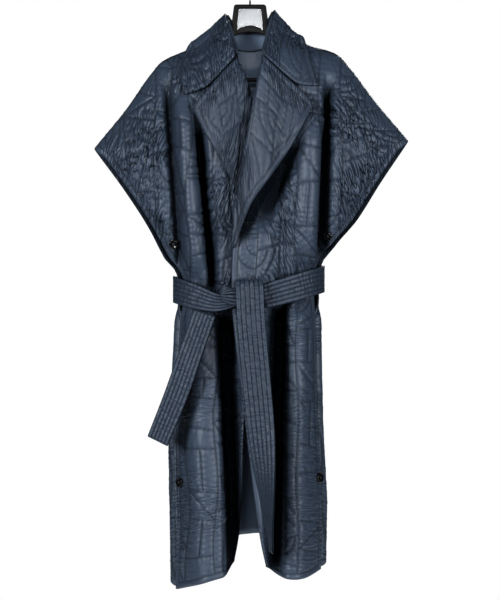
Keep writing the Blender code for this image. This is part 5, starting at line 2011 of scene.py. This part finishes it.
def add_world():
    """White surroundings that give only a little light."""
    world = bpy.data.worlds.new("studio")
    bpy.context.scene.world = world
    world.use_nodes = True
    tree = world.node_tree
    shown = tree.nodes["Background"]
    soft = tree.nodes.new("ShaderNodeBackground")
    for node, strength in ((shown, 1.0), (soft, AMBIENT)):
        node.inputs["Color"].default_value = (1.0, 1.0, 1.0, 1.0)
        node.inputs["Strength"].default_value = strength
    rays = tree.nodes.new("ShaderNodeLightPath")
    mix = tree.nodes.new("ShaderNodeMixShader")
    tree.links.new(rays.outputs["Is Camera Ray"], mix.inputs[0])
    tree.links.new(soft.outputs["Background"], mix.inputs[1])
    tree.links.new(shown.outputs["Background"], mix.inputs[2])
    tree.links.new(mix.outputs["Shader"], tree.nodes["World Output"].inputs["Surface"])


def add_camera():
    """A frontal camera that frames what the photo shows."""
    lens = bpy.data.cameras.new("camera")
    lens.sensor_fit = "VERTICAL"
    lens.sensor_height = SENSOR
    lens.lens = SENSOR * VIEW_DISTANCE / VIEW_HEIGHT
    camera = add_object("camera", lens)
    camera.location = (VIEW_MIDDLE[0], -VIEW_DISTANCE, VIEW_MIDDLE[1])
    camera.rotation_euler = (math.pi / 2, 0.0, 0.0)
    scene = bpy.context.scene
    scene.camera = camera
    scene.view_settings.view_transform = "Standard"
    scene.view_settings.gamma = VIEW_GAMMA


def add_stage(pale):
    """Pale floor, surroundings, lamps and the camera."""
    h = FLOOR_HALF
    verts = [(-h, -h, FLOOR_Z), (h, -h, FLOOR_Z), (h, h, FLOOR_Z), (-h, h, FLOOR_Z)]
    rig.stage(add_mesh("floor", verts, [(0, 1, 2, 3)], (pale,)))
    add_world()
    add_lamps()
    add_camera()


def declare(made):
    """State each cloth piece's flat size, how it is held and the sewing that goes with it."""
    for name, wide, long, area, held, on in CLOTH[1:]:
        piece, *sewing = made[name]
        below = made[on][0].name if on in made else on
        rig.sheet(piece, flat=(wide, long), held=held, rests_on=[below], area=area, with_pieces=sewing)


def build():
    looks = finishes()
    made = {}
    for name, panel, spans, seed in PANELS[1:]:
        made[name] = add_panel(name, panel, spans, seed, looks)
    for name, panel, seed, more in LAPELS[1:]:
        made[name] = add_lapel(name, panel, seed, more, looks)
    made["collar"] = add_collar("collar", COLLAR_SEED, looks)
    made["collar_stand"] = (add_stand("collar_stand", looks),)
    add_lining_seams(looks)
    made["belt_round"] = add_belt_round("belt_round", BELT_SEED, looks)
    for name, table, seed in TAILS[1:]:
        made[name] = add_tail(name, table, seed, looks)
    made["belt_knot"] = (add_knot("belt_knot", looks),)
    for name, x, z in BUTTONS[1:]:
        add_button(name, x, z, looks)
    add_hanger(looks)
    add_stage(looks["floor"])
    declare(made)


def write_sizes():
    """Write the box of the solids and the box of the dressed coat."""
    boxes = {"solids": [list(p) for p in SOLID_BOX], "dressed": [list(p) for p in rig.bounds()]}
    with open(SIZE_FILE, "w") as out:
        json.dump(boxes, out)


build()
write_sizes()
